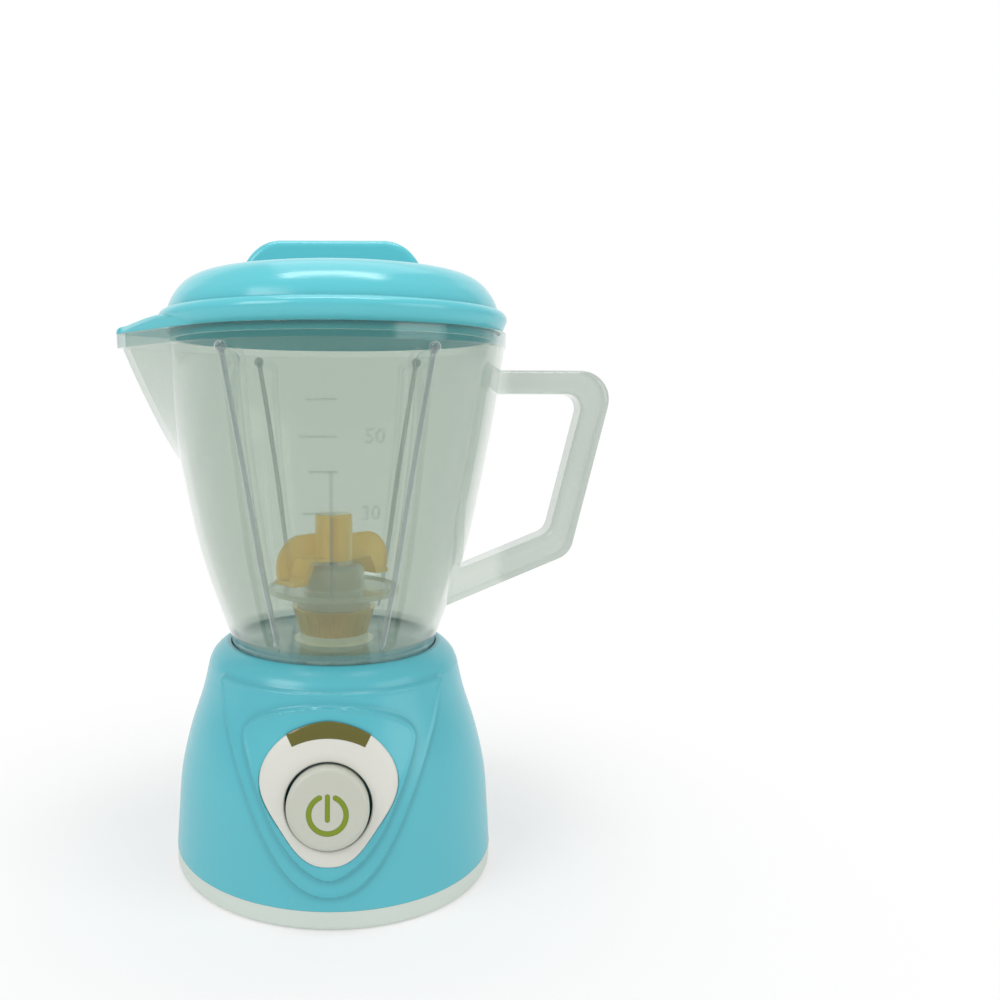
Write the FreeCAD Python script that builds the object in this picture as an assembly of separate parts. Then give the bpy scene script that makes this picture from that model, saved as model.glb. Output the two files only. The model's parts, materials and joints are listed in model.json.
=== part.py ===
"""Toy kitchen blender: battery base with a lit power button, a lift-off clear jug with a
turning blade, and a lift-off lid.  Millimetres, +Z up, origin at the middle of the foot.
The button faces -Y, the jug handle points to +X and the pouring spout to -X."""

import FreeCAD
import Part

import math
import os

Vector = FreeCAD.Vector
UP = Vector(0, 0, 1)

# ---------------------------------------------------------------- driving dimensions
# Fits.
slide_gap = 0.3            # between pieces that lift or slide past each other
seat_gap = 0.15            # around fixed pieces that drop into a pocket
shaft_gap = 0.05           # radial, running shafts in their bearings
screw_gap = 0.05           # radial, between a screw and its hole
screw_shank_radius = 1.2
screw_head_radius = 2.5
screw_head_height = 1.5

# Base.
base_radius = 52.0         # at the seam between housing and foot plate
seam_z = 6.2
shoulder_radius = 39.9     # at the crease under the sloping shoulder
shoulder_z = 66.8
base_top_z = 73.0
base_wall = 2.2
base_side = ((0.0, 1.0), (0.195, 0.917), (0.41, 0.81), (0.624, 0.56), (0.84, 0.2), (1.0, 0.0))

# Socket for the jug in the top of the base.
socket_depth = 9.0
pocket_radius = 12.5
pocket_depth = 3.6
key_angles = (60.0, 120.0)
key_width = 6.0
key_reach = 1.3
key_height = 4.0
socket_rim = 1.2           # flat ring round the socket's mouth
bush_seat_wall = 1.6

# Foot plate and battery compartment.
plate_floor = 2.2
plate_edge_radius = 1.5
plate_lip_height = 2.5
plate_screw_circle = 45.2
plate_screw_angles = (45.0, 135.0, 270.0)
plate_screw_length = 13.0
column_radius = 3.8
column_height = 11.0
cell_radius = 7.25
cell_length = 49.2
cell_nub_radius = 2.75
cell_nub_height = 1.3
cell_spacing = 15.2
contact_thickness = 0.5
contact_half_width = 5.0
contact_spring_length = 5.0
contact_spring_radius = 4.6
contact_spring_turns = 2.5
contact_wire_radius = 0.35
battery_y = -19.0
battery_wall = 1.6
door_thickness = 2.6
door_recess = 0.2
door_overlap = 2.5
door_ear_reach = 7.0
door_ear_radius = 5.0
door_screw_length = 9.0

# Control panel, button and light window.
panel_tilt = 12.5          # degrees that the panel leans back
panel_z = 36.0             # height of the button's middle
apron_raise = 0.9
shield_raise = 1.0
panel_raise = 0.35
panel_thickness = 2.2
panel_ledge = 2.0
button_radius = 11.6
button_gap = 0.6
button_proud = 2.7
button_travel = 2.5
button_wall = 1.8
button_round = 1.6
button_flange = 1.4
button_spring_radius = 7.4
button_spring_turns = 4
button_wire_radius = 0.35
window_outer_radius = 19.6
window_inner_radius = 15.5
window_centre = 3.4
window_half_angle = 38.5
window_sink = 0.7
board_depth = 16.0         # board face behind the panel face
board_thickness = 1.2
switch_size = 8.0
switch_height = 6.0
plunger_radius = 1.8
led_radius = 1.5
led_spacing = 8.5
board_post_x = 14.9
board_post_up = 6.0
board_post_radius = 2.2

# Drive train.
gear_module = 0.6
pinion_teeth = 12
wheel_teeth = 30
pressure_angle = 25.0
tooth_backlash = 0.07
train_angle = 45.0         # direction of the middle gear seen from the output gear
case_floor_z = 40.5
case_wall = 1.8
case_height = 15.0
case_cover = 2.0
case_left = 19.0
case_right = 22.5
case_front = 15.5
case_back = 27.5
case_corner = 5.0
case_post_inset = 3.2
case_post_radius = 3.0
cradle_depth = 12.0
output_shaft_radius = 1.5
output_hub_radius = 2.6
output_bush_radius = 3.2
output_bush_flange = 0.8
coupler_lift = 1.2         # drive disc above the pocket's floor
middle_axle_radius = 1.0
motor_shaft_radius = 1.0
motor_length = 20.4
motor_cap_length = 4.7
motor_width = 20.1
motor_thickness = 15.1
motor_boss_radius = 3.1
motor_boss_height = 1.7
dog_count = 3
dog_width = 46.0           # degrees
dog_inner_radius = 5.0
coupler_radius = 9.0
coupler_disc = 2.2
dog_height = 3.0

# Jug.
jug_foot_radius = 32.7
jug_wall = 2.0
jug_side_z = 74.5          # where the flared side starts
jug_floor_top_z = 73.0
jug_rim_radius = 51.4      # at the top of the flared side
jug_rim_z = 167.5
rim_band_height = 4.2
rim_band_proud = 0.5
jug_side = ((0.0, 0.0), (0.13, 0.209), (0.3, 0.455), (0.516, 0.663), (0.738, 0.84), (0.918, 0.957), (1.0, 1.0))
spout_reach = 13.9
spout_start_z = 128.0
spout_tip_radius = 5.0
spout_sink = 0.4           # the spout's edges start this far inside the side
flute_spread = 30.0        # degrees from the front or back middle line to each flute
flute_radius = 2.6
flute_offset = 0.3         # channel's centre line outside the side
flute_rib_wall = 1.6
flute_ball_extra = 0.4     # the ball end at the top is this much larger than the channel
flute_top_z = 160.6
flute_bottom_z = 76.5

# Handle.
handle_depth = 12.0
handle_top_z = 157.3
handle_under_z = 150.3
handle_round = 2.0

# Blade unit in the jug.
boss_radius = 11.0
boss_top_z = 75.2
neck_radius = 5.6
neck_top_z = 94.0
spindle_radius = 1.25
collar_foot_radius = 11.0
collar_rim_radius = 13.4
collar_rim_z = 83.6
collar_ribs = 20
sleeve_radius = 8.5
sleeve_top_z = 96.6
dish_radius = 20.9
dish_z = 89.4
dish_thickness = 1.3
hub_wall = 1.2
blade_boss_radius = 6.0
blade_top_z = 113.3
blade_arm_z = 100.0
blade_radius = 20.4
blade_foot_z = 92.6
blade_angle = 45.0
blade_flange = 1.4
blade_web = 1.6
blade_width = 9.0

# Lid.
lid_radius = 52.0
lid_flange_top_z = 173.7
lid_edge_round = 2.6
lid_crown_radius = 49.4
lid_crown_z = 187.2
lid_wall = 2.0
lid_crown = ((1.0, 0.0), (0.985, 0.18), (0.94, 0.42), (0.85, 0.66), (0.72, 0.82), (0.5, 0.94), (0.25, 0.99))
lid_skirt_depth = 7.6
lid_skirt_wall = 1.8
knob_half_length = 26.5
knob_depth = 19.0
knob_top_z = 193.6
knob_corner = 7.2
knob_round = 1.8


# ---------------------------------------------------------------- small helpers
def line(start, end):
    return Part.LineSegment(start, end).toShape()


def arc(start, middle, end):
    return Part.Arc(start, middle, end).toShape()


def smooth_curve(points, closed=False):
    curve = Part.BSplineCurve()
    curve.interpolate(points, PeriodicFlag=closed)
    return curve


def closed_face(edges):
    return Part.Face(Part.Wire(Part.__sortEdges__(edges)))


def polygon_face(points):
    return Part.Face(Part.makePolygon(list(points) + [points[0]]))


def turned(outline):
    """Solid of revolution about Z from (radius, height) corners."""
    corners = [Vector(radius, 0, height) for radius, height in outline]
    return polygon_face(corners).revolve(Vector(), UP, 360)


def cylinder(radius, bottom, top, x=0.0, y=0.0):
    return Part.makeCylinder(radius, top - bottom, Vector(x, y, bottom))


def tube(outer, inner, bottom, top, x=0.0, y=0.0):
    return cylinder(outer, bottom, top, x, y).cut(cylinder(inner, bottom - 1, top + 1, x, y))


def block(x_low, x_high, y_low, y_high, z_low, z_high):
    size = (x_high - x_low, y_high - y_low, z_high - z_low)
    return Part.makeBox(*size, Vector(x_low, y_low, z_low))


def upright_edges(shape):
    return [edge for edge in shape.Edges
            if len(edge.Vertexes) == 2 and abs(edge.tangentAt(edge.FirstParameter).z) > 0.999]


def rounded_block(x_low, x_high, y_low, y_high, z_low, z_high, radius):
    body = block(x_low, x_high, y_low, y_high, z_low, z_high)
    return body.makeFillet(radius, upright_edges(body))


def polar(radius, degrees):
    angle = math.radians(degrees)
    return radius * math.cos(angle), radius * math.sin(angle)


def turned_about_axis(shape, degrees):
    copy = shape.copy()
    copy.rotate(Vector(), UP, degrees)
    return copy


def edges_at_height(shape, height, smallest_radius=0.0):
    """Edges that lie flat at one height, leaving out small holes."""
    found = []
    for edge in shape.Edges:
        box = edge.BoundBox
        if abs(box.ZMin - height) < 0.01 and abs(box.ZMax - height) < 0.01:
            if math.hypot(edge.Vertexes[0].X, edge.Vertexes[0].Y) > smallest_radius:
                found.append(edge)
    return found


def screw(length, x, y, head_bottom, pointing=1):
    """Pan-head screw with a cross recess; its head starts at head_bottom."""
    head = cylinder(screw_head_radius, 0, screw_head_height)
    head = head.makeChamfer(screw_head_height * 0.3, edges_at_height(head, 0))
    slot_reach = screw_head_radius * 0.62
    slot_half = screw_head_radius * 0.14
    slot_deep = screw_head_height * 0.5
    head = head.cut(block(-slot_reach, slot_reach, -slot_half, slot_half, -1, slot_deep))
    head = head.cut(block(-slot_half, slot_half, -slot_reach, slot_reach, -1, slot_deep))
    shank = cylinder(screw_shank_radius, screw_head_height, length - screw_shank_radius)
    tip_z = length - screw_shank_radius
    tip = Part.makeCone(screw_shank_radius, 0.2, screw_shank_radius, Vector(0, 0, tip_z))
    body = head.fuse([shank, tip]).removeSplitter()
    if pointing < 0:
        body.rotate(Vector(), Vector(1, 0, 0), 180)
    body.translate(Vector(x, y, head_bottom))
    return body


def coil(radius, wire_radius, turns, height, lean=0.0):
    """Compression spring standing on Z = 0; a lean in degrees makes it conical."""
    path = Part.makeHelix(height / turns, height, radius, lean)
    corners = [Vector(radius + wire_radius * math.cos(math.radians(angle)), 0,
                      wire_radius * math.sin(math.radians(angle))) for angle in range(0, 360, 60)]
    section = Part.makePolygon(corners + [corners[0]])
    return Part.Wire(path).makePipeShell([section], True, True)


def group(pieces):
    return Part.makeCompound(pieces)


# ---------------------------------------------------------------- shared surfaces
def base_curve(grow=0.0):
    flare = base_radius - shoulder_radius
    span = shoulder_z - seam_z
    points = [Vector(shoulder_radius + flare * share + grow, 0, seam_z + span * height)
              for height, share in base_side]
    return smooth_curve(points)


def apron_curve():
    """Side curve that swells towards mid height and returns to the crease."""
    flare = base_radius - shoulder_radius
    span = shoulder_z - seam_z
    points = [Vector(shoulder_radius + flare * share + apron_raise * math.sin(math.pi * height) ** 0.5,
                     0, seam_z + span * height) for height, share in base_side]
    return smooth_curve(points)


def jug_curve(grow=0.0):
    rise = jug_rim_z - rim_band_height - jug_side_z
    points = [Vector(jug_foot_radius + (jug_rim_radius - jug_foot_radius) * share + grow,
                     0, jug_side_z + rise * height) for height, share in jug_side]
    return smooth_curve(points)


def radius_at(curve, height):
    """Radius where a rising side curve passes a height."""
    low = curve.FirstParameter
    high = curve.LastParameter
    for _ in range(40):
        middle = (low + high) / 2
        if curve.value(middle).z < height:
            low = middle
        else:
            high = middle
    return curve.value(low).x


def solid_under(curve):
    """Solid of revolution inside a side curve, closed flat at both ends."""
    start = curve.value(curve.FirstParameter)
    end = curve.value(curve.LastParameter)
    edges = [line(Vector(0, 0, start.z), start), curve.toShape(),
             line(end, Vector(0, 0, end.z)), line(Vector(0, 0, end.z), Vector(0, 0, start.z))]
    return closed_face(edges).revolve(Vector(), UP, 360)


# The panel leans back with the side of the base.  Its own frame has x across, y up the
# slope and z out of the face, with its origin on the button's middle.
panel_front = radius_at(base_curve(apron_raise + shield_raise + panel_raise), panel_z)
panel_frame = FreeCAD.Placement(Vector(0, -panel_front, panel_z),
                                FreeCAD.Rotation(Vector(1, 0, 0), 90 - panel_tilt))


def on_panel(shape):
    moved = shape.copy()
    moved.Placement = panel_frame.multiply(shape.Placement)
    return moved


def panel_prism(outline_face, low=-14.0, high=14.0):
    face = outline_face.copy()
    face.translate(Vector(0, 0, low))
    return on_panel(face.extrude(Vector(0, 0, high - low)))


def mirrored_outline(half):
    """Closed smooth outline from its right half, top point first, bottom point last."""
    right = [Vector(x, y, 0) for x, y in half]
    left = [Vector(-x, y, 0) for x, y in half[1:-1]]
    return smooth_curve(right + left[::-1], closed=True)


def outline_face(curve, grow=0.0):
    """Face inside a clockwise closed curve, its edge moved outwards by grow."""
    if grow:
        span = curve.LastParameter - curve.FirstParameter
        points = []
        for index in range(outline_samples):
            place = curve.FirstParameter + span * index / outline_samples
            tangent = curve.tangent(place)[0]
            points.append(curve.value(place) + Vector(-tangent.y, tangent.x, 0) * grow)
        curve = smooth_curve(points, closed=True)
    return Part.Face(Part.Wire(curve.toShape()))


outline_samples = 20
pick_half = ((0, 23.4), (12.2, 19.3), (19.4, 8.0), (15.7, -3.6), (8.6, -14.6), (0, -17.4))
shield_half = ((0, 27.7), (14.5, 25.6), (22.8, 19.4), (23.6, 9.5), (19.6, -1.5), (10.0, -14.5), (0, -20.9))
apron_half = ((0, 40.0), (33.5, 38.0), (34.0, 31.0), (29.4, 17.5), (25.4, 5.0), (12.5, -16.5), (0, -25.8))
pick = mirrored_outline(pick_half)
shield = mirrored_outline(shield_half)
apron = mirrored_outline(apron_half)


# ---------------------------------------------------------------- base housing
well_radius = jug_foot_radius + slide_gap
well_floor_z = base_top_z - socket_depth
well_under_z = well_floor_z - base_wall
pocket_floor_z = well_floor_z - pocket_depth
pocket_under_z = pocket_floor_z - base_wall
column_top_z = seam_z + column_height
plate_screw_places = [polar(plate_screw_circle, angle) for angle in plate_screw_angles]
post_x = (-case_left + case_post_inset, case_right - case_post_inset)
post_y = (-case_front + case_post_inset, case_back - case_post_inset)
case_posts = [(x, y) for x in post_x for y in post_y]
case_top_z = case_floor_z + case_height + case_cover
case_drill_z = well_floor_z - 1.2
bush_seat_z = pocket_under_z - 1.0


def base_outer():
    side = base_curve()
    crease = side.value(side.LastParameter)
    rim_inner = Vector(well_radius, 0, base_top_z)
    rim_outer = Vector(well_radius + socket_rim, 0, base_top_z)
    swell = Vector((crease.x + rim_outer.x) / 2 + 0.5, 0, (crease.z + rim_outer.z) / 2 + 0.75)
    edges = [line(Vector(0, 0, seam_z), side.value(side.FirstParameter)), side.toShape(),
             arc(crease, swell, rim_outer), line(rim_outer, rim_inner),
             line(rim_inner, Vector(0, 0, base_top_z)), line(Vector(0, 0, base_top_z), Vector(0, 0, seam_z))]
    body = closed_face(edges).revolve(Vector(), UP, 360)
    apron_pad = panel_prism(outline_face(apron), -22, 14).common(solid_under(apron_curve()))
    shield_pad = panel_prism(outline_face(shield), -22, 14).common(
        solid_under(base_curve(apron_raise + shield_raise)))
    keep_above = block(-90, 90, -90, 90, seam_z, shoulder_z)
    return body.fuse([apron_pad.common(keep_above), shield_pad.common(keep_above)])


def base_inner():
    side = base_curve(-base_wall)
    start = side.value(side.FirstParameter)
    end = side.value(side.LastParameter)
    pocket_outer = pocket_radius + base_wall
    well_outer = well_radius + base_wall
    corners = [end, Vector(well_outer, 0, base_top_z - base_wall), Vector(well_outer, 0, well_under_z),
               Vector(pocket_outer, 0, well_under_z), Vector(pocket_outer, 0, pocket_under_z),
               Vector(0, 0, pocket_under_z), Vector(0, 0, seam_z), start]
    edges = [side.toShape()] + [line(a, b) for a, b in zip(corners, corners[1:])]
    return closed_face(edges).revolve(Vector(), UP, 360)


def base_housing():
    shell = base_outer().cut(base_inner())
    shell = shell.cut(cylinder(well_radius, well_floor_z, base_top_z + 5))
    shell = shell.cut(cylinder(pocket_radius, pocket_floor_z, base_top_z))
    bush_seat = tube(output_bush_radius + bush_seat_wall, output_bush_radius, bush_seat_z, pocket_floor_z)
    shell = shell.cut(cylinder(output_bush_radius, pocket_under_z - 5, pocket_floor_z + 1)).fuse(bush_seat)
    slots = []
    for angle in key_angles:
        slot = block(well_radius - 2, well_radius + key_reach, -key_width / 2 - slide_gap,
                     key_width / 2 + slide_gap, well_floor_z, base_top_z + 5)
        slots.append(turned_about_axis(slot, angle))
    shell = shell.cut(slots)
    # Bosses that carry the gear case, and columns for the foot plate's screws.
    added = []
    drilled = []
    for x, y in case_posts:
        added.append(cylinder(case_post_radius, case_top_z, well_under_z + 0.5, x, y))
        drilled.append(cylinder(screw_shank_radius + screw_gap, case_top_z - 1, case_drill_z, x, y))
    for (x, y), angle in zip(plate_screw_places, plate_screw_angles):
        inner_side = solid_under(base_curve(-base_wall / 2))
        column = cylinder(column_radius, seam_z + 0.3, column_top_z, x, y)
        rib = block(plate_screw_circle, base_radius, -1.0, 1.0, seam_z + 0.3 + plate_lip_height, column_top_z)
        added.append(column.fuse(turned_about_axis(rib, angle)).common(inner_side))
        drilled.append(cylinder(screw_shank_radius + screw_gap, 0, plate_screw_length + 1.5, x, y))
    shell = shell.fuse(added).cut(drilled)
    # Pocket for the control panel, with a ledge behind it.
    panel_pocket = panel_prism(outline_face(pick, seat_gap)).cut(
        solid_under(base_curve(apron_raise + shield_raise + panel_raise - panel_thickness)))
    through = panel_prism(outline_face(pick, -panel_ledge))
    return shell.cut([panel_pocket, through]).removeSplitter()


# ---------------------------------------------------------------- foot plate and battery bay
bay_half_x = (cell_length + cell_nub_height + contact_thickness + contact_spring_length) / 2
cell_shift = bay_half_x - contact_thickness - cell_nub_height - cell_length / 2
bay_half_y = cell_spacing / 2 + cell_radius + slide_gap
cell_z = door_recess + door_thickness + 0.4 + cell_radius
bay_roof_z = cell_z + cell_radius + 0.4
door_half_x = bay_half_x + door_overlap
door_half_y = bay_half_y + door_overlap
frame_top_z = door_recess + door_thickness + 1.4
door_screw_x = door_half_x + door_ear_reach - door_ear_radius


def door_outline(grow, bottom, top):
    """Rounded battery door with a round ear at each end for its screw."""
    plate = rounded_block(-door_half_x - grow, door_half_x + grow, battery_y - door_half_y - grow,
                          battery_y + door_half_y + grow, bottom, top, 3.0 + grow)
    ears = [cylinder(door_ear_radius + grow, bottom, top, side * door_screw_x, battery_y) for side in (-1, 1)]
    return plate.fuse(ears).removeSplitter()


def base_plate():
    disc = cylinder(base_radius, 0, seam_z)
    disc = disc.makeFillet(plate_edge_radius, edges_at_height(disc, 0))
    body = disc.cut(cylinder(base_radius - base_wall, plate_floor, seam_z + 1))
    lip_outer = base_radius - base_wall - slide_gap
    lip = tube(lip_outer, lip_outer - 1.5, plate_floor, seam_z + plate_lip_height)
    clearance = [cylinder(column_radius + slide_gap, seam_z, column_top_z, x, y) for x, y in plate_screw_places]
    added = [lip.cut(clearance)]
    added.append(door_outline(2.0, 0, frame_top_z))
    wall = battery_wall
    bay_top = bay_roof_z + wall
    added.append(rounded_block(-bay_half_x - wall, bay_half_x + wall, battery_y - bay_half_y - wall,
                               battery_y + bay_half_y + wall, 0, bay_top, 2.0))
    for side in (-1, 1):
        added.append(cylinder(door_ear_radius, 0, door_screw_length + 4, side * door_screw_x, battery_y))
    cuts = [door_outline(slide_gap, -1, door_recess + door_thickness)]
    cuts.append(block(-bay_half_x, bay_half_x, battery_y - bay_half_y, battery_y + bay_half_y, -1, bay_roof_z))
    for side in (-1, 1):
        cuts.append(cylinder(screw_shank_radius + seat_gap, -1, door_screw_length + 2.5,
                             side * door_screw_x, battery_y))
    for x, y in plate_screw_places:
        added.append(cylinder(column_radius + 1.2, 0, seam_z, x, y))
        cuts.append(cylinder(screw_head_radius + 0.5, -1, screw_head_height + 1.0, x, y))
        cuts.append(cylinder(screw_shank_radius + 0.3, -1, seam_z + 1, x, y))
    body = body.fuse(added).cut(cuts)
    inside = cylinder(base_radius, -1, 60)
    return body.common(inside).removeSplitter()


def battery_door():
    door = door_outline(0, door_recess, door_recess + door_thickness)
    cuts = []
    for side in (-1, 1):
        cuts.append(cylinder(screw_head_radius + 0.3, 0, door_recess + screw_head_height + 0.1,
                             side * door_screw_x, battery_y))
        cuts.append(cylinder(screw_shank_radius + 0.2, 0, 9, side * door_screw_x, battery_y))
    # Grip ribs across the middle of the outer face.
    for step in range(-3, 4):
        cuts.append(block(-9, 9, battery_y + step * 3 - 0.5, battery_y + step * 3 + 0.5, -1, door_recess + 0.6))
    return door.cut(cuts)


def battery_cell(side):
    """Round cell lying along X; side says which way its raised contact points."""
    half = cell_length / 2
    body = Part.makeCylinder(cell_radius, cell_length, Vector(-half, 0, 0), Vector(1, 0, 0))
    body = body.makeChamfer(0.6, body.Edges[0:1] + body.Edges[2:3])
    nub = Part.makeCylinder(cell_nub_radius, cell_nub_height + 0.5, Vector(side * (half - 0.5), 0, 0),
                            Vector(side, 0, 0))
    cell = body.fuse(nub)
    cell.translate(Vector(side * cell_shift, battery_y + side * cell_spacing / 2, cell_z))
    return cell


def contact_plates():
    """Flat contacts on the bay's end walls that the raised ends of the cells press on."""
    plates = []
    half = contact_half_width
    for side in (-1, 1):
        y = battery_y + side * cell_spacing / 2
        x_low, x_high = sorted((side * (bay_half_x - contact_thickness), side * bay_half_x))
        plates.append(block(x_low, x_high, y - half, y + half, cell_z - half, cell_z + half))
    return group(plates)


def contact_springs():
    """Conical springs between the bay's end walls and the flat ends of the cells."""
    springs = []
    margin = contact_wire_radius + 0.05
    for side in (-1, 1):
        spring = coil(contact_spring_radius, contact_wire_radius, contact_spring_turns,
                      contact_spring_length - 2 * margin, -12.0)
        spring.translate(Vector(0, 0, margin))
        spring.rotate(Vector(), Vector(0, 1, 0), 90 * side)
        spring.translate(Vector(-side * bay_half_x, battery_y + side * cell_spacing / 2, cell_z))
        springs.append(spring)
    return group(springs)


# ---------------------------------------------------------------- control panel group
panel_surface_growth = apron_raise + shield_raise + panel_raise
button_hole_radius = button_radius + button_gap
collar_back = -5.0         # back of the panel's guide ring, in the panel's frame
flange_front = collar_back - slide_gap
flange_radius = button_hole_radius + 1.2
window_centre_point = Vector(0, window_centre, 0)


def shell_layer(outer_growth, inner_growth):
    return solid_under(base_curve(outer_growth)).cut(solid_under(base_curve(inner_growth)))


def window_face(outer, inner, grow=0.0):
    """Arched window outline, a ring sector over the button."""
    half = math.radians(window_half_angle + math.degrees(grow / outer))
    points = {}
    for name, radius in (("outer", outer + grow), ("inner", inner - grow)):
        for key, angle in (("left", -half), ("middle", 0.0), ("right", half)):
            points[name, key] = window_centre_point + Vector(radius * math.sin(angle), radius * math.cos(angle), 0)
    edges = [arc(points["outer", "left"], points["outer", "middle"], points["outer", "right"]),
             line(points["outer", "right"], points["inner", "right"]),
             arc(points["inner", "right"], points["inner", "middle"], points["inner", "left"]),
             line(points["inner", "left"], points["outer", "left"])]
    return closed_face(edges)


def control_panel():
    layer = shell_layer(panel_surface_growth, panel_surface_growth - panel_thickness)
    face = panel_prism(outline_face(pick)).common(layer)
    back = solid_under(base_curve(panel_surface_growth - panel_thickness / 2))
    ring = on_panel(tube(button_hole_radius + 1.6, button_hole_radius, collar_back, 2))
    inner_outline = panel_prism(outline_face(pick, -panel_ledge - seat_gap))
    added = [ring.common(back).common(inner_outline)]
    for side in (-1, 1):
        post = cylinder(board_post_radius, -board_depth, 2, side * board_post_x, board_post_up)
        added.append(on_panel(post).common(back).common(inner_outline))
    lip = panel_prism(window_face(window_inner_radius + 1.4, window_inner_radius - 1.0), -6, -2.4)
    lip = lip.common(solid_under(base_curve(panel_surface_growth - panel_thickness)))
    added.append(lip.common(inner_outline).cut(on_panel(cylinder(button_hole_radius, -9, 9))))
    body = face.fuse(added)
    cuts = [on_panel(cylinder(button_hole_radius, -20, 9))]
    notch = panel_prism(window_face(window_outer_radius + 3, window_inner_radius, seat_gap))
    cuts.append(notch.cut(solid_under(base_curve(panel_surface_growth - panel_thickness))))
    for side in (-1, 1):
        cuts.append(on_panel(cylinder(0.95, -board_depth - 1, -board_depth + 6, side * board_post_x, board_post_up)))
    body = body.cut(cuts).removeSplitter()
    return body


def indicator_window():
    layer = shell_layer(panel_surface_growth - window_sink, panel_surface_growth - panel_thickness + 0.02)
    sector = panel_prism(window_face(window_outer_radius + 3, window_inner_radius))
    return sector.common(panel_prism(outline_face(pick))).common(layer)


def power_button():
    roof = button_proud - button_wall
    cap = cylinder(button_radius, flange_front - button_flange, button_proud)
    cap = cap.makeFillet(button_round, edges_at_height(cap, button_proud))
    flange = cylinder(flange_radius, flange_front - button_flange, flange_front)
    body = cap.fuse(flange)
    body = body.cut(cylinder(button_radius - button_wall, flange_front - button_flange - 1, roof))
    stem = cylinder(plunger_radius + 0.6, plunger_top, roof)
    return on_panel(body.fuse(stem).removeSplitter())


switch_front = -board_depth + switch_height
plunger_top = switch_front + button_travel + 0.4


def push_switch():
    half = switch_size / 2
    body = rounded_block(-half, half, -half, half, -board_depth, switch_front, 0.8)
    pins = [block(x - 0.3, x + 0.3, y - 0.3, y + 0.3, -board_depth - board_thickness - 1.5, -board_depth)
            for x in (-2.5, 0, 2.5) for y in (-2.5, 2.5)]
    body = body.cut(cylinder(plunger_radius + shaft_gap, -board_depth + 0.6, switch_front + 1))
    return on_panel(body.fuse(pins))


def switch_plunger():
    low = -board_depth + button_travel + 1.0
    return on_panel(cylinder(plunger_radius, low, plunger_top))


def button_spring():
    bottom = -board_depth + button_wire_radius
    top = button_proud - button_wall - button_wire_radius
    spring = coil(button_spring_radius, button_wire_radius, button_spring_turns, top - bottom)
    spring.translate(Vector(0, 0, bottom))
    return on_panel(spring)


board_half_x = 17.6
board_low = -9.0
board_high = window_centre + window_inner_radius + 3.5


def circuit_board():
    bottom = -board_depth - board_thickness
    board = rounded_block(-board_half_x, board_half_x, board_low, board_high, bottom, -board_depth, 2.0)
    holes = [cylinder(1.15, bottom - 1, 0, side * board_post_x, board_post_up) for side in (-1, 1)]
    pin_holes = [block(x - 0.32, x + 0.32, y - 0.32, y + 0.32, bottom - 1, 0)
                 for x in (-2.5, 0, 2.5) for y in (-2.5, 2.5)]
    return on_panel(board.cut(holes + pin_holes))


def board_screws():
    """Two small screws that hold the circuit board to the panel's posts."""
    screws = []
    for side in (-1, 1):
        head_z = -board_depth - board_thickness
        head = cylinder(1.9, head_z - 1.1, head_z, side * board_post_x, board_post_up)
        shank = cylinder(0.9, head_z, -board_depth + 5, side * board_post_x, board_post_up)
        slot = block(-1.2, 1.2, -0.25, 0.25, head_z - 2, head_z - 0.6)
        slot.translate(Vector(side * board_post_x, board_post_up, 0))
        screws.append(on_panel(head.fuse(shank).cut(slot)))
    return group(screws)


def indicator_lights():
    """Small round lamps standing on the board behind the window."""
    lamps = []
    for step in (-1, 0, 1):
        angle = step * led_spacing * 2.6
        x = window_mid_radius * math.sin(math.radians(angle))
        up = window_centre + window_mid_radius * math.cos(math.radians(angle))
        foot = cylinder(led_radius + 0.3, -board_depth, -board_depth + 1, x, up)
        stem = cylinder(led_radius, -board_depth + 1, led_top - led_radius, x, up)
        dome = Part.makeSphere(led_radius, Vector(x, up, led_top - led_radius))
        lamps.append(on_panel(foot.fuse([stem, dome]).removeSplitter()))
    return group(lamps)


window_mid_radius = window_inner_radius + 1.2
led_top = -7.2


# ---------------------------------------------------------------- gears
centre_distance = gear_module * (pinion_teeth + wheel_teeth) / 2 + 0.02
middle_x, middle_y = polar(centre_distance, train_angle)
motor_x = 0.0
motor_y = 2 * middle_y
motor_angle = 180 - train_angle


def involute(base, radius, start_angle, hand):
    """Point of a tooth flank at a radius, on the base circle's involute."""
    roll = math.sqrt(max((radius / base) ** 2 - 1, 0.0))
    angle = start_angle + hand * (roll - math.atan(roll))
    return Vector(radius * math.cos(angle), radius * math.sin(angle), 0)


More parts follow.
